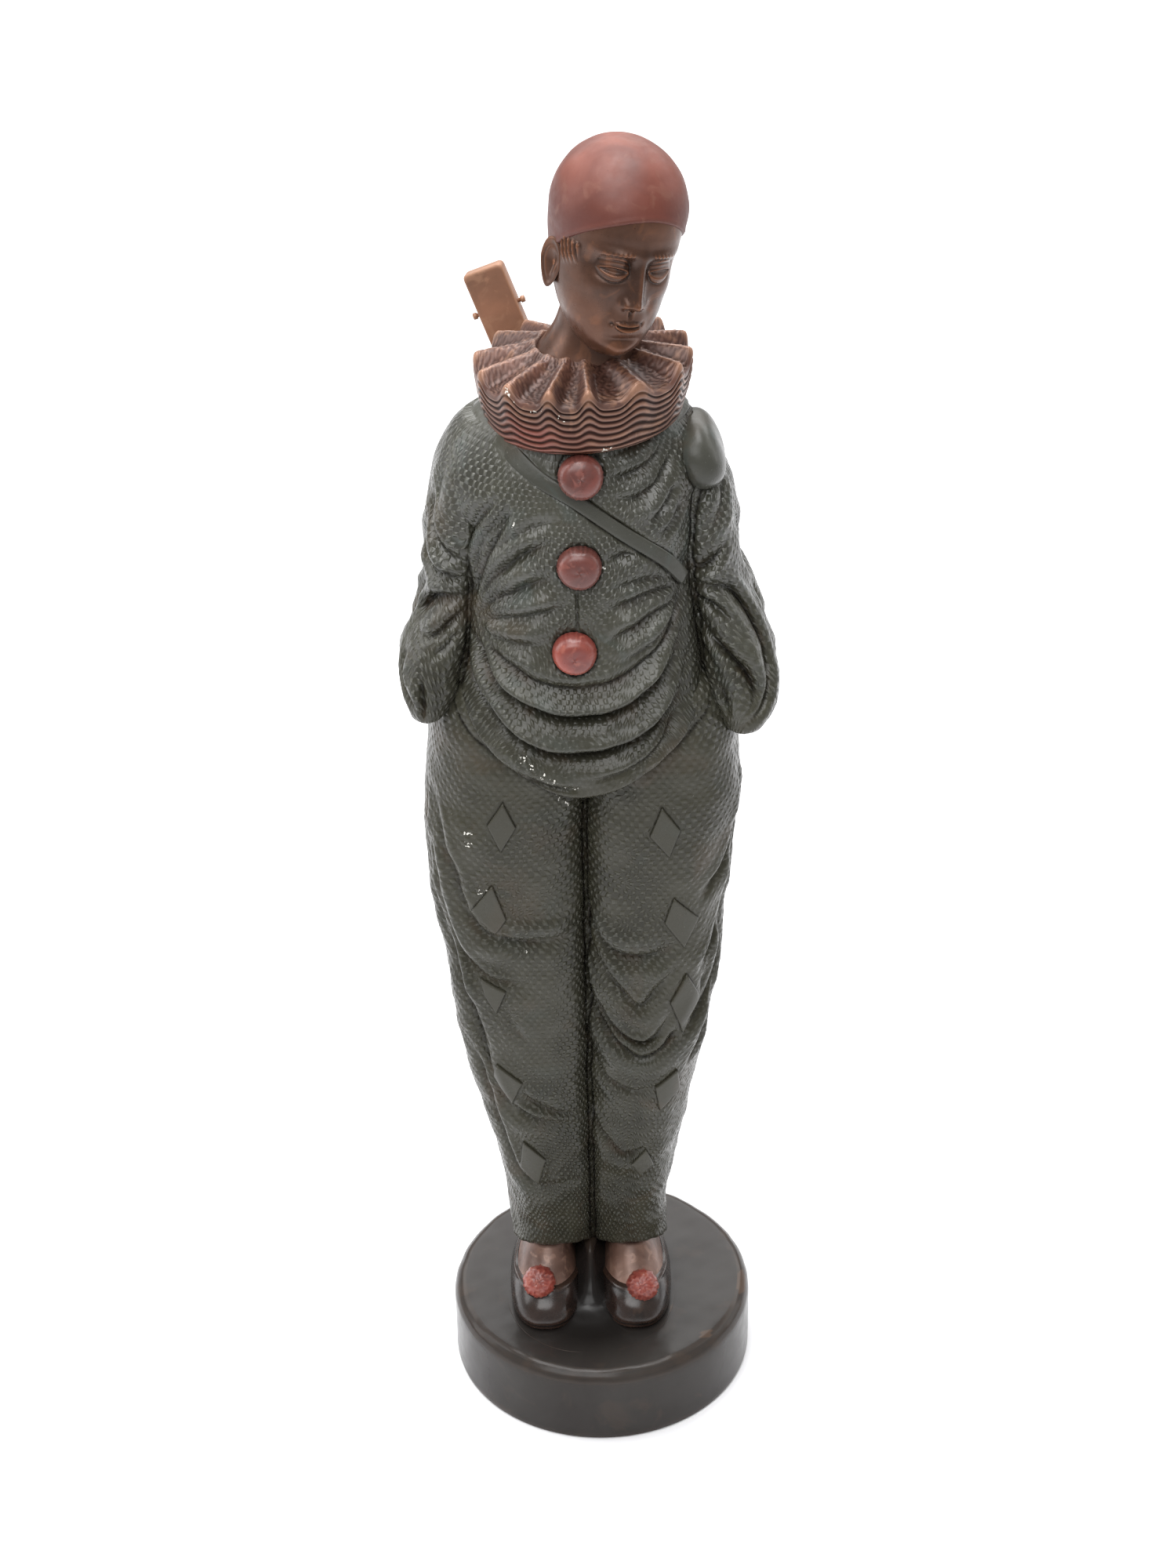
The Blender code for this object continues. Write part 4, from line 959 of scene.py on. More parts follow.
def cap_grid(rows, columns):
    """The close skull cap, whose rolled rim rises over the forehead."""
    crown = HEAD[-1][0]
    angle = round_angles(columns)
    turn = np.radians(angle)
    rim = CAP_RIM_HEIGHT - 1.5 + (CAP_RIM_RISE + 2) * np.cos(turn) + 4 * np.cos(2 * turn)
    rim = rim + 0.5 * np.sin(3 * turn + 0.7)
    share = np.sin(np.linspace(0, math.pi / 2, rows))[:, None] ** 1.2
    z = rim + (crown - rim) * (1 - share)
    edge = 0.35 * bell(z, rim + 2.6, 1.4) - 1.6 * np.maximum(0, 1 - (z - rim) / 1.6) ** 2
    dent = 0.25 * ripple(angle * 0.6, z, 31, 3)
    taper = 0.35 + 0.65 * ease((z - rim) / 22)
    points = garment_points(HEAD, angle + 0 * z, z, CAP_THICKNESS * taper + edge + dent)
    points[..., 2] += CAP_THICKNESS * np.clip(z / crown, 0, 1) ** 2
    return place_head(points)


def ear_grid(side, rows=30, columns=56):
    """An ear: a rolled rim, an inner ridge, a hollow and a lobe."""
    around = full_turn(columns)
    share = down_rows(rows)
    out = np.sin(np.clip(share / 0.72, 0, 1) * math.pi / 2) * (1 - 0.3 * ease((share - 0.72) / 0.28))
    upper = 0.5 + 0.5 * np.sin(around)
    behind = 0.5 + 0.5 * np.cos(around)
    rim = 1.8 * bell(out, 0.9, 0.14) * (0.3 + 0.4 * upper + 0.3 * behind)
    ridge = 1.2 * bell(out, 0.55, 0.13) * behind
    hollow = -2.4 * bell(out, 0, 0.42)
    front = 1.6 * bell_at(around, out, 3.3, 0.6, 0.5, 0.2)
    depth = 1.8 + rim + ridge + hollow + front
    under = ease((share - 0.76) / 0.24)
    depth = depth * (1 - under) - 5 * under
    narrow = 1 - 0.3 * np.clip(-np.sin(around), 0, 1)
    back = 8.5 * out * np.cos(around) * narrow
    y = 3 + back
    z = -15 + 15 * out * np.sin(around) + 0.15 * back
    x = side * (34.2 + 0.8 * depth + 0.34 * back)
    return place_head(np.stack([x, y, z], -1))


def ruff_grid(rows, columns):
    """The fluted ruff: a finely ridged top, a scalloped rim and a grooved outer band."""
    angle = np.linspace(-180, 180, columns, endpoint=False)[None, :]
    place = down_rows(rows, 0, len(RUFF) - 1)
    radius, crest, trough = curve_at(RUFF, place)
    drift = 3.0 * np.sin(np.radians(angle * 3 + 70)) + 2.0 * np.sin(np.radians(angle * 5 + 10))
    beat = np.radians((angle + drift - RUFF_FIRST_CREST_DEG) * RUFF_FLUTES)
    outer = ease((radius - 40) / 20)
    wave = (0.5 + 0.5 * np.cos(beat)) ** (1.5 + 0.9 * outer)
    on_top = ease((6.4 - place) / 0.8)
    on_band = ease((place - 6.6) / 0.6) * ease((12.2 - place) / 0.8)
    out = 1.9 * wave * ease((radius - 50) / 18) * ease((trough - 706) / 20)
    z = trough + (crest - trough) * wave
    fine = np.cos(2 * math.pi * (radius + 0.8 * np.sin(beat * 2 + radius)) / 1.35)
    z = z + 0.22 * on_top * ease((radius - 30) / 4) * fine
    waver = 0.7 * np.sin(beat + 1) + 0.4 * ripple(angle, place * 9, 31, 2)
    groove = 0.5 + 0.5 * np.cos(2 * math.pi * (place - 6.6) * 1.75 + waver)
    radius = radius + out - 1.1 * on_band * groove ** 2
    sine = np.sin(np.radians(angle))
    cosine = np.cos(np.radians(angle))
    z = z + RUFF_RISE_RIGHT * radius * sine - RUFF_RISE_BACK * radius * cosine
    grid = np.stack([RUFF_CENTRE[0] + radius * sine, RUFF_CENTRE[1] - radius * cosine, z], -1)
    rim = wave * bell(place, 6.2, 1.3)
    # Painted shade in the band's grooves and between the flutes.
    hollow = on_band * groove ** 2 + on_top * (1 - wave) ** 3 * 0.35 + 0.3 * on_top * (1 - fine) * 0.5
    chip = np.zeros_like(z)
    for middle, at, wide, tall in RUFF_CHIPS:
        chip = np.maximum(chip, 1 - np.hypot((angle - middle) / wide, (place - at) / tall))
    red = bell(angle, -30, 26) * ease((place - 7.5) / 2)
    marks = {"hollow": hollow, "rim": rim, "chip": np.clip(chip, 0, 1), "red": red}
    return grid, {name: [field + 0 * z] for name, field in marks.items()}


def dome_grid(place, radius, height, rings, relief, rows=20, columns=64):
    """A round button or pompom whose face looks forward, tilted up from level."""
    x, y, z, tilt = place
    at = down_rows(rows, 0, len(rings) - 1)
    ring, rise = curve_at(rings, at)
    around = full_turn(columns)
    lift = relief(ring, around)
    across = (radius * ring + lift * ring) * np.cos(around)
    up = (radius * ring + lift * ring) * np.sin(around)
    ahead = np.array([0, -math.cos(math.radians(tilt)), math.sin(math.radians(tilt))])
    above = np.array([0, math.sin(math.radians(tilt)), math.cos(math.radians(tilt))])
    grid = across[..., None] * np.array([1, 0, 0]) + up[..., None] * above
    return grid + (rise * height + lift * (1 - ring))[..., None] * ahead + np.array([x, y, z])


def hatched(ring, around):
    """Short strokes round a button's edge."""
    strokes = np.cos(around * 34) * np.sin(around * 5 + 1)
    return 0.22 * strokes * ease((ring - 0.6) / 0.3) + 0.15 * np.sin(around * 3 + 6 * ring)


def crumbly(ring, around):
    """A pompom's rough, worn surface."""
    x = 12 * ring * np.cos(around)
    y = 12 * ring * np.sin(around)
    return 0.45 * ripple(x, y, 3.4, 3) + 0.3 * ripple(x, y, 1.9, 7) + 0 * around


def lozenge_grid(profile, folds, reach, corners, rows=10, cells=9):
    """A thin smooth lozenge with crisp edges that follows the cloth under it."""
    corners = np.array(corners, float)
    middle = corners.mean(0)
    step = np.arange(4 * cells)
    t = ((step % cells) / cells)[:, None]
    edge = corners[step // cells] * (1 - t) + corners[(step // cells + 1) % 4] * t - middle
    shares = np.concatenate([np.linspace(0.05, 0.93, rows), [0.98, 1.0, 1.0]])[:, None]
    lifts = np.concatenate([np.ones(rows), [0.85, 0.45, -4.0]])[:, None] * LOZENGE_PROUD
    angle = middle[0] + shares * edge[None, :, 0]
    z = middle[1] + shares * edge[None, :, 1]
    fold = along_folds(folds, angle, z, reach)[0]
    return garment_points(profile, angle, z, lifts + 0.3 * fold)


def strap_grid(rows=90):
    """The smooth strap across the chest, a flat band sunk into the cloth."""
    stops = np.linspace(0, len(STRAP) - 1, rows)
    a, b = curve_at(STRAP, stops)
    du = np.gradient(np.radians(a) * JACKET_REACH)
    dv = np.gradient(b)
    size = np.hypot(du, dv)
    half = STRAP_WIDTH / 2
    section = [
        (-half, -9), (-half, 0.7), (-half + 0.3, 1.6), (-half + 0.9, 2.0), (-half / 2, 2.15), (0, 2.2),
    ]
    section += [(-w, h) for w, h in section[-2::-1]]
    offset = np.array([s[0] for s in section])[None, :]
    lift = np.array([s[1] for s in section])[None, :] * STRAP_PROUD / 2
    lift = lift * (0.12 + 0.88 * ease((stops[:, None] - 0.8) / 3))
    angle = a[:, None] + np.degrees(offset * (-dv / size)[:, None] / JACKET_REACH)
    z = b[:, None] + offset * (du / size)[:, None]
    return garment_points(JACKET, angle, z, lift + 0 * z)


def flap_grid():
    """The smooth flap over the shoulder."""
    angle = np.linspace(-180, 180, 72, endpoint=False)[None, :]
    polar = down_rows(44, 0.02, math.pi - 0.02)
    wide, deep, tall = FLAP_SIZE
    around = np.sin(polar) ** 0.75
    sine = np.sin(np.radians(angle))
    cosine = np.cos(np.radians(angle))
    across = wide * around * sine
    along = tall * np.sign(np.cos(polar)) * np.abs(np.cos(polar)) ** 0.85
    tilt = math.radians(FLAP_TILT_DEG)
    x = FLAP_CENTRE[0] + across * math.cos(tilt) - along * math.sin(tilt)
    y = FLAP_CENTRE[1] - deep * around * np.sign(cosine) * np.abs(cosine) ** 0.6
    z = FLAP_CENTRE[2] + across * math.sin(tilt) + along * math.cos(tilt)
    return np.stack([x, y, z], -1)


def shoe_rows(side):
    """The profile of the left or right shoe."""
    if side < 0:
        return LEFT_SHOE
    rows = []
    for z, left, right, front, back, power in LEFT_SHOE:
        rows.append((z, SHOE_MIRROR - right, SHOE_MIRROR - left, front, back, power))
    return rows


def opening_height(angle):
    """The height of a pump's opening: high over the toes and the heel, low at the sides."""
    turn = np.radians(angle)
    return 24.5 - 1.5 * np.cos(turn) + 4.2 * np.cos(2 * turn)


def shoe_grid(side):
    """A low pump with a rolled opening edge."""
    def relief(angle, z):
        """The rolled opening edge and the sole's edge."""
        to_edge = opening_height(angle) - z
        rolled = 0.7 * bell(to_edge, 1.3, 0.9)
        sole = 0.8 * bell(z, 2.2, 1.5) - 0.6 * bell(z, 5.2, 1.0)
        return rolled + sole - 1.8 * np.exp(-np.clip(to_edge, 0, 9) / 0.35)
    return plain_loft(shoe_rows(side), opening_height, level(-2), 46, 110, 1.0, relief)


def foot_grid(side):
    """The bare instep and ankle inside a pump."""
    return plain_loft(shoe_rows(side), level(63), level(12), 52, 70, 1.0, lambda a, z: -1.6 + 0 * a * z)


def instep_shadow(points):
    """How much painted shadow darkens the instep under the trouser leg and low in the shoe, from 0 to 1.
    """
    return ease((points[..., 2] - 43) / 5) + ease((17 - points[..., 2]) / 5)


def toe_shade_and_reflection(points):
    """How much painted shade and a painted reflection of the dark figure darken the base round the toes,
    from 0 to 1.
    """
    return bell_at(points[..., 0], points[..., 1], -3, -50, 62, 44)


def mound_grid(rows=56, columns=140):
    """The mound that rises between the shoes and runs out flat in front of them."""
    share = down_rows(rows)
    z = np.concatenate([41 * (1 - share) ** 3, [[-3.0]]])
    angle = round_angles(columns) + 0 * z
    return garment_points(MOUND, angle, z + 0 * angle, 0 * angle)


def mandolin_matrix():
    """The mandolin's place: its axis leans back and to one side, and it turns a little."""
    turn = Matrix.Rotation(math.radians(MANDOLIN_TURN_DEG), 4, "Z")
    back = Matrix.Rotation(math.radians(-MANDOLIN_LEAN_DEG), 4, "X")
    side = Matrix.Rotation(math.radians(-MANDOLIN_SLANT_DEG), 4, "Y")
    return np.array(Matrix.Translation(Vector(world(MANDOLIN_TOP))) @ turn @ back @ side)


def in_mandolin(points):
    """From the mandolin's own frame, in metres, to the figure's units."""
    matrix = mandolin_matrix()
    return from_world(np.asarray(points, float) @ matrix[:3, :3].T + matrix[:3, 3])


def body_outline(count):
    """The mandolin body's outline round its middle, as (across, along) in metres."""
    half = MANDOLIN_BODY_WIDTH / 2
    bend = MANDOLIN_BODY_LENGTH - half
    neck = MANDOLIN_NECK_WIDTH / 2
    t = np.linspace(0, 1, count)
    side = np.stack([neck + (half - neck) * np.sin(math.pi / 2 * t) ** 1.5, -bend * t], -1)
    turn = math.pi / 2 * t[1:]
    bowl = np.stack([half * np.cos(turn), -bend - half * np.sin(turn)], -1)
    right = np.concatenate([side, bowl])
    left = right[-2::-1] * np.array([-1, 1])
    return np.concatenate([right, left])


def slab_grid(outline, layers):
    """A plate from an outline and layers of (depth, inset), all in metres."""
    middle = outline.mean(0)
    reach = np.linalg.norm(outline - middle, axis=1)[:, None]
    rings = []
    for depth, inset in layers:
        flat = middle + (outline - middle) * np.clip(1 - inset / reach, 0, 1)
        rings.append(np.stack([flat[:, 0], np.full(len(flat), depth), flat[:, 1]], -1))
    return np.array(rings)


def rounded_box(size, middle, edge, corner_steps=4):
    """A plate across and along with rounded corners, as an outline and its layers."""
    wide, deep, tall = size
    points = []
    for k, (sx, sz) in enumerate([(1, 1), (-1, 1), (-1, -1), (1, -1)]):
        for i in range(corner_steps + 1):
            turn = math.pi / 2 * (k + i / corner_steps)
            points.append((
                middle[0] + sx * (wide / 2 - edge) + edge * math.cos(turn),
                middle[2] + sz * (tall / 2 - edge) + edge * math.sin(turn),
            ))
    outline = np.array(points)
    soft = min(edge, deep / 3) * 0.5
    low = middle[1] - deep / 2
    high = middle[1] + deep / 2
    layers = [(low, 2 * soft), (low, soft), (low + soft * 0.3, soft * 0.3), (low + soft, 0)]
    layers += [(high - soft, 0), (high - soft * 0.3, soft * 0.3), (high, soft), (high, 2 * soft)]
    return slab_grid(outline, layers)


def rod_grid(start, end, radii, columns=12):
    """A straight rod between two points in metres, with radii along it."""
    start = np.asarray(start, float)
    end = np.asarray(end, float)
    axis = (end - start) / np.linalg.norm(end - start)
    beside = np.cross(axis, (0.3, 1, 0.2))
    beside = beside / np.linalg.norm(beside)
    up = np.cross(axis, beside)
    turn = np.linspace(0, 2 * math.pi, columns, endpoint=False)
    rings = []
    for share, radius in radii:
        ring = np.cos(turn)[:, None] * beside + np.sin(turn)[:, None] * up
        rings.append(start + (end - start) * share + radius * ring)
    return np.array(rings)


def base_grid(rows, columns):
    """The turned base, with the small unevenness of a casting."""
    radius = BASE_DIAMETER / 2
    round_edge = 0.011
    outline = [(share * radius, BASE_HEIGHT) for share in (0.02, 0.3, 0.6)]
    outline += [(radius - round_edge * 1.6, BASE_HEIGHT)]
    for i in range(9):
        turn = math.pi / 2 * i / 8
        inwards = round_edge * (1 - math.sin(turn))
        outline.append((radius - inwards, BASE_HEIGHT - round_edge * (1 - math.cos(turn))))
    outline += [(radius, z) for z in (0.036, 0.022, 0.010, 0.003)]
    outline += [(radius - 0.0005, 0.001), (radius - 0.002, 0), (radius - 0.02, 0), (0.02 * radius, 0)]
    outline = np.array(outline)
    lengths = np.concatenate([[0], np.cumsum(np.linalg.norm(np.diff(outline, axis=0), axis=1))])
    at = np.sort(np.concatenate([np.linspace(0, lengths[-1], rows), lengths]))
    r = np.interp(at, lengths, outline[:, 0])[:, None]
    z = np.interp(at, lengths, outline[:, 1])[:, None]
    turn = full_turn(columns)
    x = r * np.cos(turn)
    y = r * np.sin(turn)
    u = x * 1000
    v = y * 1000 + z * 900
    worn = 0.00025 * ripple(u, v, 60, 4) + 0.00012 * ripple(u, v, 19, 9)
    edge = ease((r - 0.06) / 0.03) * ease(z / 0.008)
    z = z + worn * ease(z / 0.02)
    x = x + worn * edge * np.cos(turn)
    y = y + worn * edge * np.sin(turn)
    return from_world(np.stack([x, y, z], -1))


def feed(tree, socket, value):
    """Links another node's output to a socket, or sets the socket to a plain value."""
    if isinstance(value, bpy.types.NodeSocket):
        tree.links.new(value, socket)
    else:
        socket.default_value = value


def add_node(tree, kind, settings=None, **inputs):
    """A shader node whose inputs are set by name, with underscores for spaces."""
    node = tree.nodes.new(kind)
    for key, value in (settings or {}).items():
        setattr(node, key, value)
    names = [socket.name for socket in node.inputs]
    for key, value in inputs.items():
        feed(tree, node.inputs[names.index(key.replace("_", " "))], value)
    return node


def noise(tree, place, scale, detail=4.0, distortion=0.0):
    """Cloudy values whose size falls as the scale grows."""
    made = add_node(
        tree, "ShaderNodeTexNoise", None, Vector=place, Scale=scale, Detail=detail,
        Distortion=distortion,
    )
    return made.outputs["Fac"]


def between(tree, value, low, high, to_low=0.0, to_high=1.0):
    """The value stretched from one range to another and kept inside it."""
    made = add_node(
        tree, "ShaderNodeMapRange", None, Value=value, From_Min=low, From_Max=high,
        To_Min=to_low, To_Max=to_high,
    )
    return made.outputs["Result"]


def maths(tree, operation, *values):
    """The result of one operation on values."""
    made = add_node(tree, "ShaderNodeMath", {"operation": operation})
    for socket, value in zip(made.inputs, values):
        feed(tree, socket, value)
    return made.outputs[0]


def times(tree, first, second):
    """One value times another."""
    return maths(tree, "MULTIPLY", first, second)


def blend_colour(tree, amount, first, second):
    """The first colour with the second laid over it by amount."""
    made = add_node(tree, "ShaderNodeMix", {"data_type": "RGBA"})
    tree.links.new(amount, made.inputs[0])
    colour_sockets = [socket for socket in made.inputs if socket.type == "RGBA"]
    for socket, value in zip(colour_sockets, (first, second)):
        feed(tree, socket, (*value, 1.0) if isinstance(value, tuple) else value)
    return [socket for socket in made.outputs if socket.type == "RGBA"][0]


def mark(tree, name):
    """The values of one of the points' marks."""
    return add_node(tree, "ShaderNodeAttribute", {"attribute_name": name}).outputs["Fac"]


def height_at(tree, place):
    """The height of each place on the surface."""
    return add_node(tree, "ShaderNodeSeparateXYZ", None, Vector=place).outputs[2]


def new_look(name, metallic=0.0, coat=0.0, coat_roughness=0.2):
    """A material, its node tree, its shader and the place on the surface."""
    made = bpy.data.materials.new(name)
    made.use_nodes = True
    tree = made.node_tree
    shader = tree.nodes["Principled BSDF"]
    shader.inputs["Metallic"].default_value = metallic
    shader.inputs["Coat Weight"].default_value = coat
    shader.inputs["Coat Roughness"].default_value = coat_roughness
    place = tree.nodes.new("ShaderNodeTexCoord").outputs["Object"]
    return made, tree, shader, place


def finish_look(tree, shader, colour, roughness, height, strength, distance):
    """Gives a shader its colour, its roughness and its bumps."""
    bump = add_node(
        tree, "ShaderNodeBump", None, Strength=strength, Distance=distance, Height=height,
    )
    feed(tree, shader.inputs["Base Color"], colour)
    feed(tree, shader.inputs["Roughness"], roughness)
    feed(tree, shader.inputs["Normal"], bump.outputs["Normal"])


def chipped(tree, place, colour, roughness, white):
    """The colour and roughness with dull white chips where they are marked."""
    flecks = maths(tree, "MULTIPLY_ADD", mark(tree, "chip"), 0.5, noise(tree, place, 480.0, 2.0))
    chip = between(tree, flecks, 0.97, 0.99)
    colour = blend_colour(tree, chip, colour, white)
    return colour, maths(tree, "MAXIMUM", roughness, times(tree, chip, 0.8))


def costume_look(name, light, dark, knobbly):
    """Grey-green cold paint over bronze: painted shade in the folds, lower down and in the knobs' gaps,
    painted highlights on the knobs, dirt in the creases, and brown where it has rubbed.
    """
    made, tree, shader, place = new_look(name)
    shader.inputs[SPECULAR].default_value = 0.3
    broad = between(tree, noise(tree, place, 13.0, 3.0, 0.4), 0.36, 0.66)
    fine = noise(tree, place, 260.0, 5.0)
    patches = noise(tree, place, 46.0, 5.0, 0.3)
    colour = blend_colour(tree, broad, dark, light)
    bloom = between(tree, noise(tree, place, 31.0, 5.0, 0.9), 0.58, 0.70, 0.0, 0.45)
    colour = blend_colour(tree, bloom, colour, TINTS["bloom"])
    # Painted shade: the paint grows darker towards the bottom, where less light falls.
    lower = between(tree, height_at(tree, place), 0.70, 0.54, 0.0, 0.7)
    colour = blend_colour(tree, lower, colour, TINTS["painted_low_shade"])
    height = times(tree, fine, 0.2)
    if knobbly:
        hollow = mark(tree, "hollow")
        across, down = (
            maths(tree, "COSINE", times(tree, mark(tree, which), math.pi))
            for which in ("across", "down")
        )
        knob = maths(tree, "POWER", between(tree, times(tree, across, down), 0.0, 1.0), 0.7)
        knobby = times(tree, mark(tree, "knobby"), between(tree, patches, 0.3, 0.6, 0.45, 1.0))
        bare = between(tree, patches, 0.5, 0.66, 0.0, 0.6)
        worn = between(tree, fine, 0.35, 0.7, 0.02, 0.16)
        broken = between(tree, fine, 0.3, 0.6, 0.7, 1.1)
        # Dirt and painted shade darken the creases, the hems and the places where forms meet.
        crease_dirt_and_shade = between(tree, times(tree, mark(tree, "crease"), broken), 0.25, 0.8, 0.0, 0.95)
        # Painted shade in the knobs' gaps and painted highlights on their tops, then pale worn ridges,
        # bare metal in the hollows and painted shade in the folds.
        for amount, tint in (
            (times(tree, between(tree, knob, 0.34, 0.0, 0.0, 0.75), knobby), "knob_gap_shade"),
            (times(tree, between(tree, knob, 0.5, 1.0, 0.0, 0.2), knobby), "knob_top_highlight"),
            (times(tree, between(tree, hollow, -0.05, -0.4), worn), "worn_ridge"),
            (times(tree, between(tree, hollow, 0.1, 0.6), bare), "bare_metal"),
            (between(tree, hollow, 0.25, 1.1, 0.0, 0.6), "fold_shade"),
            (crease_dirt_and_shade, "crease_dirt_and_shade"),
        ):
            colour = blend_colour(tree, amount, colour, TINTS[tint])
        clean = between(tree, crease_dirt_and_shade, 0.0, 0.9, 1.0, 0.15)
        shine = times(tree, clean, between(tree, lower, 0.0, 0.7, 0.58, 0.27))
        feed(tree, shader.inputs[SPECULAR], shine)
        height = maths(tree, "ADD", height, times(tree, knob, knobby))
    rubbed = between(tree, noise(tree, place, 21.0, 6.0, 0.6), 0.58, 0.72, 0.0, 0.5)
    colour = blend_colour(tree, rubbed, colour, TINTS["rubbed"])
    speck = between(tree, noise(tree, place, 520.0, 2.0), 0.72, 0.76, 0.0, 0.4)
    colour = blend_colour(tree, speck, colour, TINTS["speck"])
    roughness = between(tree, patches, 0.3, 0.7, 0.22, 0.38)
    if knobbly:
        colour, roughness = chipped(tree, place, colour, roughness, TINTS["chip"])
    finish_look(tree, shader, colour, roughness, height, 1.0, 0.0011)
    return made


def rubbed_look(
    name, colours, roughness, coat=0.0, metallic=0.0, marks=(), spots=0.5, scale=1.0,
    shaded=None, specks=0.45, shine=None,
):
    """A painted or patinated surface with cloudy colour, worn edges, painted shade in its hollows and,
    where asked, lower down, and small scratches.
    """
    light, dark, worn = colours
    made, tree, shader, place = new_look(name, metallic, coat, 0.14)
    if shine is not None:
        shader.inputs[SPECULAR].default_value = shine
    cloudy = between(tree, noise(tree, place, 26.0 * scale, 5.0, 0.5), 0.34, 0.66)
    fine = noise(tree, place, 210.0 * scale, 6.0)
    scratches = noise(tree, place, 620.0 * scale, 2.0, 1.5)
    deep = tuple(0.3 * part for part in dark)
    colour = blend_colour(tree, cloudy, dark, light)
    if shaded:
        low = between(tree, height_at(tree, place), shaded[1], shaded[0], 0.0, 0.75)
        colour = blend_colour(tree, low, colour, dark)
    spot = between(tree, noise(tree, place, 70.0 * scale, 5.0, 0.8), 0.56, 0.66, 0.0, spots)
    colour = blend_colour(tree, spot, colour, worn)
    pointy = tree.nodes.new("ShaderNodeNewGeometry").outputs["Pointiness"]
    # Lighter on edges that stand out, as worn paint, and painted shade where the surface curves in.
    colour = blend_colour(tree, between(tree, pointy, 0.505, 0.56, 0.0, 0.7), colour, worn)
    colour = blend_colour(tree, between(tree, pointy, 0.495, 0.44, 0.0, 0.85), colour, deep)
    if "red" in marks:
        red = times(tree, mark(tree, "red"), between(tree, cloudy, 0.2, 0.8, 0.4, 0.9))
        colour = blend_colour(tree, red, colour, TINTS["ruff_red"])
    if "toe_shade_and_reflection" in marks:
        # Painted shade and a painted reflection of the dark figure round the toes.
        toe_shaded = between(tree, mark(tree, "toe_shade_and_reflection"), 0.1, 0.8, 0.0, 0.9)
        colour = blend_colour(tree, toe_shaded, colour, deep)
    if "hollow" in marks:
        # Painted shade in the hollows: the ruff's grooves and troughs and the instep under the trouser
        # leg.
        hollow = mark(tree, "hollow")
        colour = blend_colour(tree, between(tree, hollow, 0.1, 0.8, 0.0, 0.95), colour, deep)
        feed(tree, shader.inputs[SPECULAR], between(tree, hollow, 0.1, 0.7, 0.5, 0.05))
    if "rim" in marks:
        bright = between(tree, fine, 0.3, 0.7, 0.4, 0.9)
        rim = times(tree, between(tree, mark(tree, "rim"), 0.3, 0.9), bright)
        colour = blend_colour(tree, rim, colour, worn)
    speck = between(tree, scratches, 0.72, 0.78, 0.0, specks)
    colour = blend_colour(tree, speck, colour, deep)
    gloss = between(tree, fine, 0.3, 0.7, *roughness)
    if "chip" in marks:
        colour, gloss = chipped(tree, place, colour, gloss, TINTS["ruff_chip"])
    finish_look(tree, shader, colour, gloss, fine, 0.25, 0.0004)
    return made


COSTUME = costume_look("costume_paint", (0.064, 0.063, 0.046), (0.035, 0.034, 0.024), True)
SMOOTH_COSTUME = costume_look(
    "smooth_costume_paint", (0.058, 0.058, 0.048), (0.042, 0.042, 0.034), False,
)
BASE_PAINT = rubbed_look(
    "base_paint", ((0.037, 0.033, 0.030), (0.027, 0.023, 0.021), (0.085, 0.055, 0.038)),
    (0.18, 0.27), spots=0.15, scale=0.5, marks=("toe_shade_and_reflection",), specks=0.08, shine=0.2,
)
CAP_PAINT = rubbed_look(
    "cap_paint", ((0.16, 0.046, 0.030), (0.075, 0.018, 0.012), (0.16, 0.068, 0.046)),
    (0.44, 0.56), spots=0.35, shaded=(0.915, 0.945), shine=0.36,
)
SKIN = rubbed_look(
    "skin_patina", ((0.110, 0.048, 0.028), (0.046, 0.021, 0.013), (0.22, 0.085, 0.038)),
    (0.26, 0.38), metallic=0.45, spots=0.3,
)
RUFF_PAINT = rubbed_look(
    "ruff_paint", ((0.125, 0.056, 0.040), (0.060, 0.029, 0.022), (0.30, 0.155, 0.095)),
    (0.28, 0.42), metallic=0.2, marks=("hollow", "rim", "chip", "red"),
)
RED_PAINT = rubbed_look(
    "red_paint", ((0.135, 0.036, 0.028), (0.050, 0.017, 0.014), (0.22, 0.075, 0.058)),
    (0.26, 0.40), coat=0.1, scale=1.6,
)
BRIGHT_RED = rubbed_look(
    "bright_red_paint", ((0.28, 0.048, 0.032), (0.14, 0.028, 0.022), (0.32, 0.10, 0.07)),
    (0.26, 0.40), coat=0.1, scale=1.6,
)
SHOE_PAINT = rubbed_look(
    "shoe_paint", ((0.019, 0.012, 0.010), (0.008, 0.006, 0.005), (0.08, 0.040, 0.025)),
    (0.18, 0.30), spots=0.25,
)
INSTEP = rubbed_look(
    "instep_patina", ((0.20, 0.112, 0.082), (0.085, 0.044, 0.032), (0.28, 0.17, 0.125)),
    (0.30, 0.44), metallic=0.2, scale=1.8, marks=("hollow",),
)
COPPER = rubbed_look(
    "mandolin_patina", ((0.25, 0.110, 0.060), (0.14, 0.064, 0.035), (0.30, 0.155, 0.09)),
    (0.38, 0.54), metallic=0.1,
)
DARK_WOOD = rubbed_look(
    "fretboard_patina", ((0.07, 0.035, 0.022), (0.04, 0.02, 0.014), (0.16, 0.08, 0.05)),
    (0.34, 0.5),
)


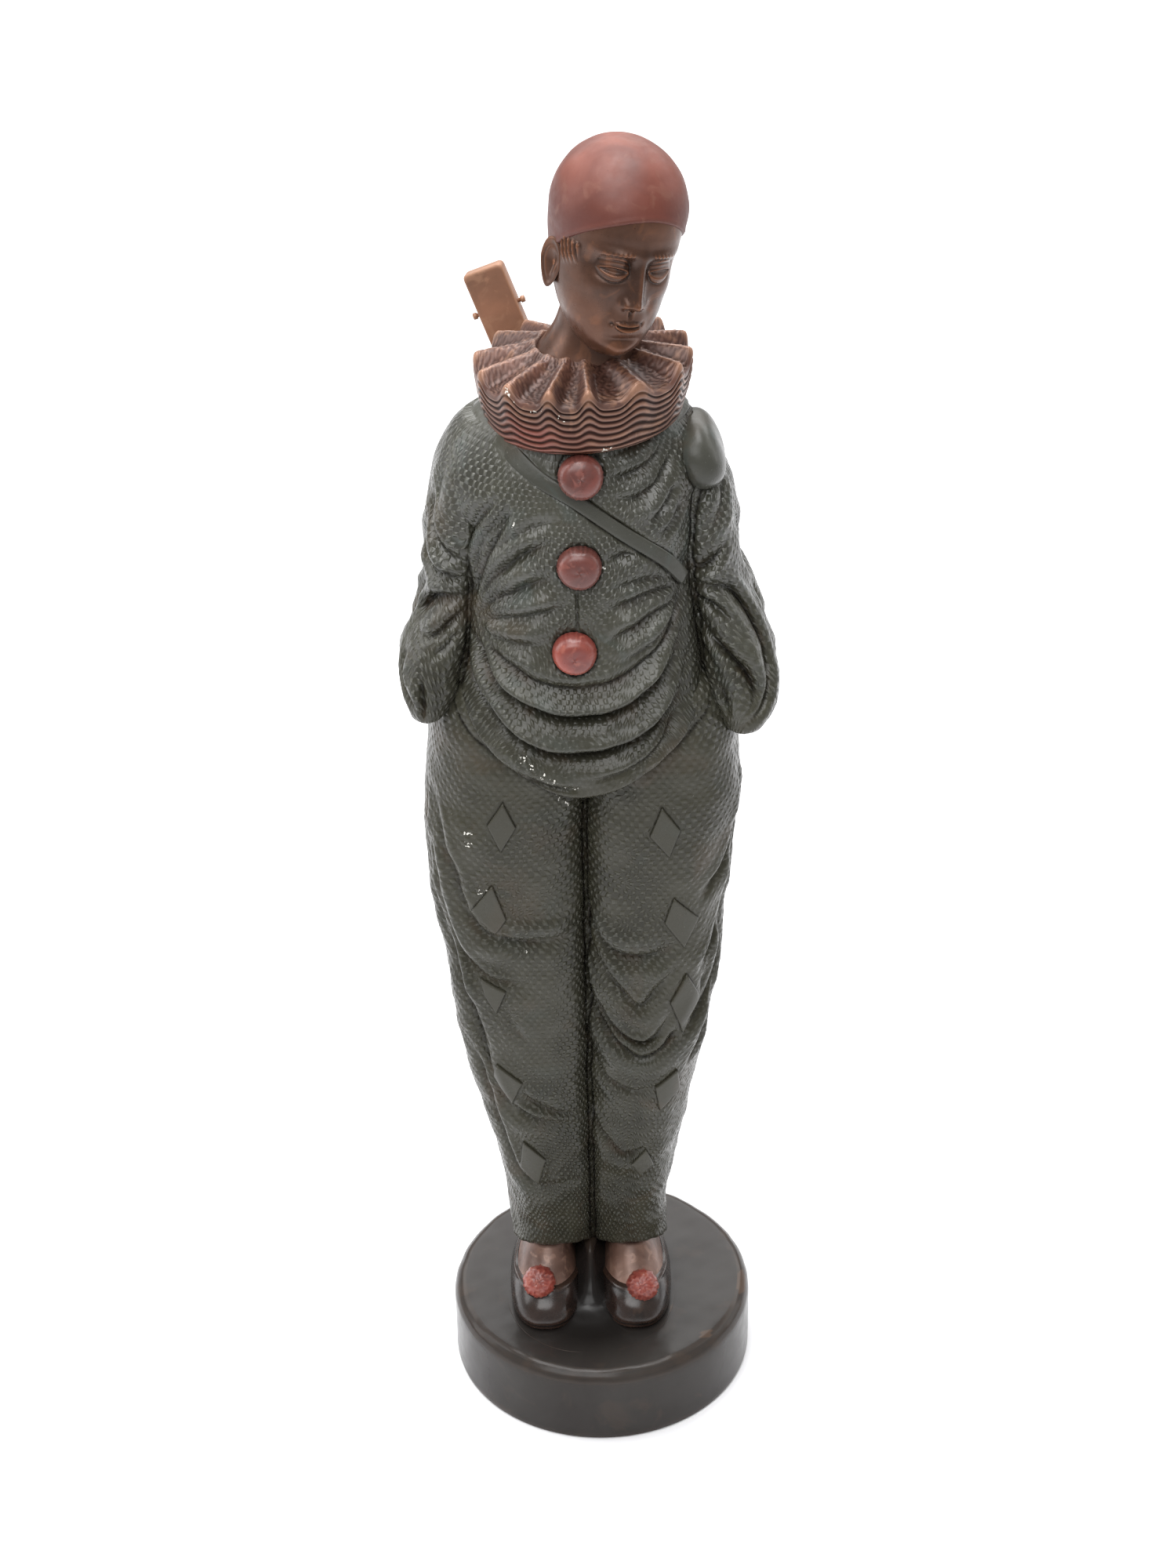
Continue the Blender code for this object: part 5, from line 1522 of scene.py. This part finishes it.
for side, leg, other, folds, chips, diamonds in (
    ("left", LEFT_LEG, RIGHT_LEG, LEFT_LEG_FOLDS, LEFT_LEG_CHIPS, LEFT_LOZENGES),
    ("right", RIGHT_LEG, LEFT_LEG, RIGHT_LEG_FOLDS, (), RIGHT_LOZENGES),
):
    cloth(
        "trousers_" + side, leg, TROUSERS_TOP, trouser_hem, TROUSERS_GRID, folds, LEG_REACH,
        (other,), chips, diamonds,
    )
cloth(
    "jacket", JACKET, JACKET_TOP, jacket_hem, JACKET_GRID, JACKET_FOLDS, JACKET_REACH,
    (LEFT_SLEEVE, RIGHT_SLEEVE), JACKET_CHIPS, (), True,
)
for side, sleeve, cuff, folds in (
    ("left", LEFT_SLEEVE, LEFT_CUFF, LEFT_SLEEVE_FOLDS),
    ("right", RIGHT_SLEEVE, RIGHT_CUFF, RIGHT_SLEEVE_FOLDS),
):
    cloth(
        "sleeve_" + side, sleeve, SLEEVE_TOP, level(cuff), SLEEVE_GRID, folds, SLEEVE_REACH,
        (JACKET,),
    )

ruff, ruff_marks = ruff_grid(*RUFF_GRID)
head = [head_grid(*HEAD_GRID), ear_grid(-1), ear_grid(1)]
neck = plain_loft(NECK, level(814), level(702), 26, 64)
add_piece("ruff", [ruff], RUFF_PAINT, "figure", ruff_marks)
add_piece("head", head, SKIN, "figure")
add_piece("neck", [neck], SKIN, "figure")
add_piece("cap", [cap_grid(*CAP_GRID)], CAP_PAINT, "figure")
for name, places, rings, relief in (
    ("button_", BUTTONS, BUTTON_RINGS, hatched),
    ("pompom_", POMPOMS, POMPOM_RINGS, crumbly),
):
    for number, place in enumerate(places, 1):
        look = RED_PAINT if places is BUTTONS and number < 3 else BRIGHT_RED
        grid = dome_grid(place[:4], place[4], place[5], rings, relief)
        add_piece(name + str(number), [grid], look, "figure")
lozenges = [lozenge_grid(LEFT_LEG, LEFT_LEG_FOLDS, LEG_REACH, place) for place in LEFT_LOZENGES]
lozenges += [lozenge_grid(RIGHT_LEG, RIGHT_LEG_FOLDS, LEG_REACH, place) for place in RIGHT_LOZENGES]
for name, grids in (
    ("lozenges", lozenges), ("strap", [strap_grid()]), ("shoulder_flap", [flap_grid()]),
):
    add_piece(name, grids, SMOOTH_COSTUME, "figure")
add_piece("shoes", [shoe_grid(-1), shoe_grid(1)], SHOE_PAINT, "figure")
insteps = [foot_grid(-1), foot_grid(1)]
cuff_shade = {"hollow": [instep_shadow(grid) for grid in insteps]}
add_piece("insteps", insteps, INSTEP, "figure", cuff_shade)
mound = mound_grid()
add_piece("shoe_mound", [mound], BASE_PAINT, "figure", {"toe_shade_and_reflection": [toe_shade_and_reflection(mound)]})
base = base_grid(*BASE_GRID)
base_toe_shade = toe_shade_and_reflection(base) * ease((base[..., 2] + 14) / 10)
add_piece("base_casting", [base], BASE_PAINT, "base", {"toe_shade_and_reflection": [base_toe_shade]})

# The mandolin in its own frame, in metres: the top of its headstock is at nought and its
# body hangs below. The body's rim and face are layers of (depth, inset).
top_of_body = -MANDOLIN_HEAD_LENGTH - MANDOLIN_NECK_LENGTH
body_layers = [(0.0003, 0.004), (0.0003, 0.0022), (0.0008, 0.0008), (0.0022, 0), (0.012, 0)]
for under_face, inset in (
    (0.0032, 0), (0.0018, 0.0003), (0.0006, 0.0012), (0.0006, 0.0026), (0.0012, 0.0030),
    (0.0012, 0.0060),
):
    body_layers.append((MANDOLIN_BODY_DEPTH - under_face, inset))
body = slab_grid(body_outline(40), body_layers) + np.array([0, 0, top_of_body])
middle_of_neck = top_of_body + MANDOLIN_NECK_LENGTH / 2
neck = rounded_box(
    (MANDOLIN_NECK_WIDTH, MANDOLIN_NECK_DEPTH, MANDOLIN_NECK_LENGTH + 0.012),
    (0, MANDOLIN_NECK_DEPTH / 2, middle_of_neck), 0.002,
)
headstock = rounded_box(
    (MANDOLIN_HEAD_WIDTH, MANDOLIN_HEAD_DEPTH, MANDOLIN_HEAD_LENGTH),
    (0, MANDOLIN_HEAD_DEPTH / 2 + 0.0002, -MANDOLIN_HEAD_LENGTH / 2), 0.003,
)

# Both pegs are one rod through the headstock, as (share of its length, share of the radius).
peg_half = MANDOLIN_HEAD_WIDTH / 2 + PEG_REACH
peg_radius = PEG_DIAMETER / 2
peg_shape = [(0, 0.3), (0.01, 1), (0.07, 1), (0.085, 0.6), (0.15, 0.55)]
peg_shape += [(1 - share, radius) for share, radius in peg_shape[::-1]]
peg_shape = [(share, radius * peg_radius) for share, radius in peg_shape]
peg_place = (MANDOLIN_HEAD_DEPTH / 2, -PEG_BELOW_TOP)
pegs = rod_grid((-peg_half, *peg_place), (peg_half, *peg_place), peg_shape, 20)
add_mandolin("mandolin_body", (body, neck, headstock, pegs), COPPER)

# The fingerboard, its tongue over the body, the bridge, the tailpiece and the sound hole.
face = MANDOLIN_BODY_DEPTH - 0.0012
board_width = MANDOLIN_NECK_WIDTH - 0.002
bridge_at = top_of_body - 0.112
bottom = top_of_body - MANDOLIN_BODY_LENGTH
fittings = [rounded_box(*sizes) for sizes in (
    ((board_width, 0.003, MANDOLIN_NECK_LENGTH + 0.030),
     (0, MANDOLIN_NECK_DEPTH + 0.001, middle_of_neck - 0.012), 0.0008),
    ((board_width, 0.004, 0.040), (0, face, top_of_body - 0.018), 0.0008),
    ((0.044, 0.0035, 0.006), (0, face + 0.0008, bridge_at), 0.0012),
    ((0.022, 0.003, 0.016), (0, face + 0.0004, bottom + 0.012), 0.002),
)]
turn = np.linspace(0, 2 * math.pi, 60, endpoint=False)
circle = np.stack([np.cos(turn), np.sin(turn)], -1)
hole_layers = []
for over_face, inset in (
    (-0.001, 0), (0.0006, 0), (0.001, 0.0006), (0.0006, 0.0022), (0.0002, 0.0026),
    (0.0002, 0.006),
):
    hole_layers.append((face + over_face, inset))
fittings.append(slab_grid(circle * 0.015 + np.array([0, top_of_body - 0.066]), hole_layers))
fret_size = (MANDOLIN_NECK_WIDTH - 0.003, 0.0012, 0.0011)
for i in range(8):
    along = top_of_body + MANDOLIN_NECK_LENGTH * (0.94 - 0.12 * i)
    fittings.append(rounded_box(fret_size, (0, MANDOLIN_NECK_DEPTH + 0.0028, along), 0.0004, 2))
add_mandolin("mandolin_fittings", fittings, DARK_WOOD)

# Each string runs from the nut over the bridge's saddle to the tailpiece.
strings = []
for i in range(4):
    x = (i - 1.5) * 0.0034
    nut = (x, MANDOLIN_NECK_DEPTH + 0.0036, -MANDOLIN_HEAD_LENGTH + 0.002)
    saddle = (x * 1.5, face + 0.003, bridge_at)
    tail = (x * 1.3, face + 0.0018, bottom + 0.016)
    for start, end, taper in ((nut, saddle, 0.01), (saddle, tail, 0.02)):
        radii = [(0, 0.0003), (taper, 0.00045), (1 - taper, 0.00045), (1, 0.0003)]
        strings.append(rod_grid(start, end, radii, 8))
add_mandolin("mandolin_strings", strings, COPPER)


def add_area(name, place, target, size, power, colour):
    """A soft light that faces a point."""
    light = bpy.data.lights.new(name, "AREA")
    light.shape = "RECTANGLE"
    light.size = size[0]
    light.size_y = size[1]
    light.energy = power
    light.color = colour
    lamp = put(name, light)
    lamp.location = place
    lamp.rotation_euler = (Vector(target) - Vector(place)).to_track_quat("-Z", "Y").to_euler()


floor_mesh = bpy.data.meshes.new("floor")
floor_mesh.from_pydata([(-9, -6, 0), (9, -6, 0), (9, 12, 0), (-9, 12, 0)], [], [(0, 1, 2, 3)])
floor_look = new_look("pale_floor")[0]
floor_shader = floor_look.node_tree.nodes["Principled BSDF"]
floor_shader.inputs["Base Color"].default_value = (0.84, 0.84, 0.855, 1)
floor_shader.inputs["Roughness"].default_value = 0.9
floor_mesh.materials.append(floor_look)
floor = put("floor", floor_mesh)

studio = bpy.data.worlds.new("studio")
studio.use_nodes = True
studio.node_tree.nodes["Background"].inputs["Color"].default_value = (*WHITE, 1)
studio.node_tree.nodes["Background"].inputs["Strength"].default_value = 0.42
bpy.context.scene.world = studio
bpy.context.scene.view_settings.view_transform = "Standard"

for light in LIGHTS:
    add_area(*light)

lens = bpy.data.cameras.new("camera")
lens.lens = 64.8
lens.sensor_width = 36
lens.clip_start = 0.05
camera = put("camera", lens)
camera.matrix_world = (
    Matrix.Translation(CAMERA_PLACE)
    @ Matrix.Rotation(math.radians(CAMERA_TILT_DEG), 4, "X")
    @ Matrix.Rotation(math.radians(CAMERA_ROLL_DEG), 4, "Z")
)
bpy.context.scene.camera = camera
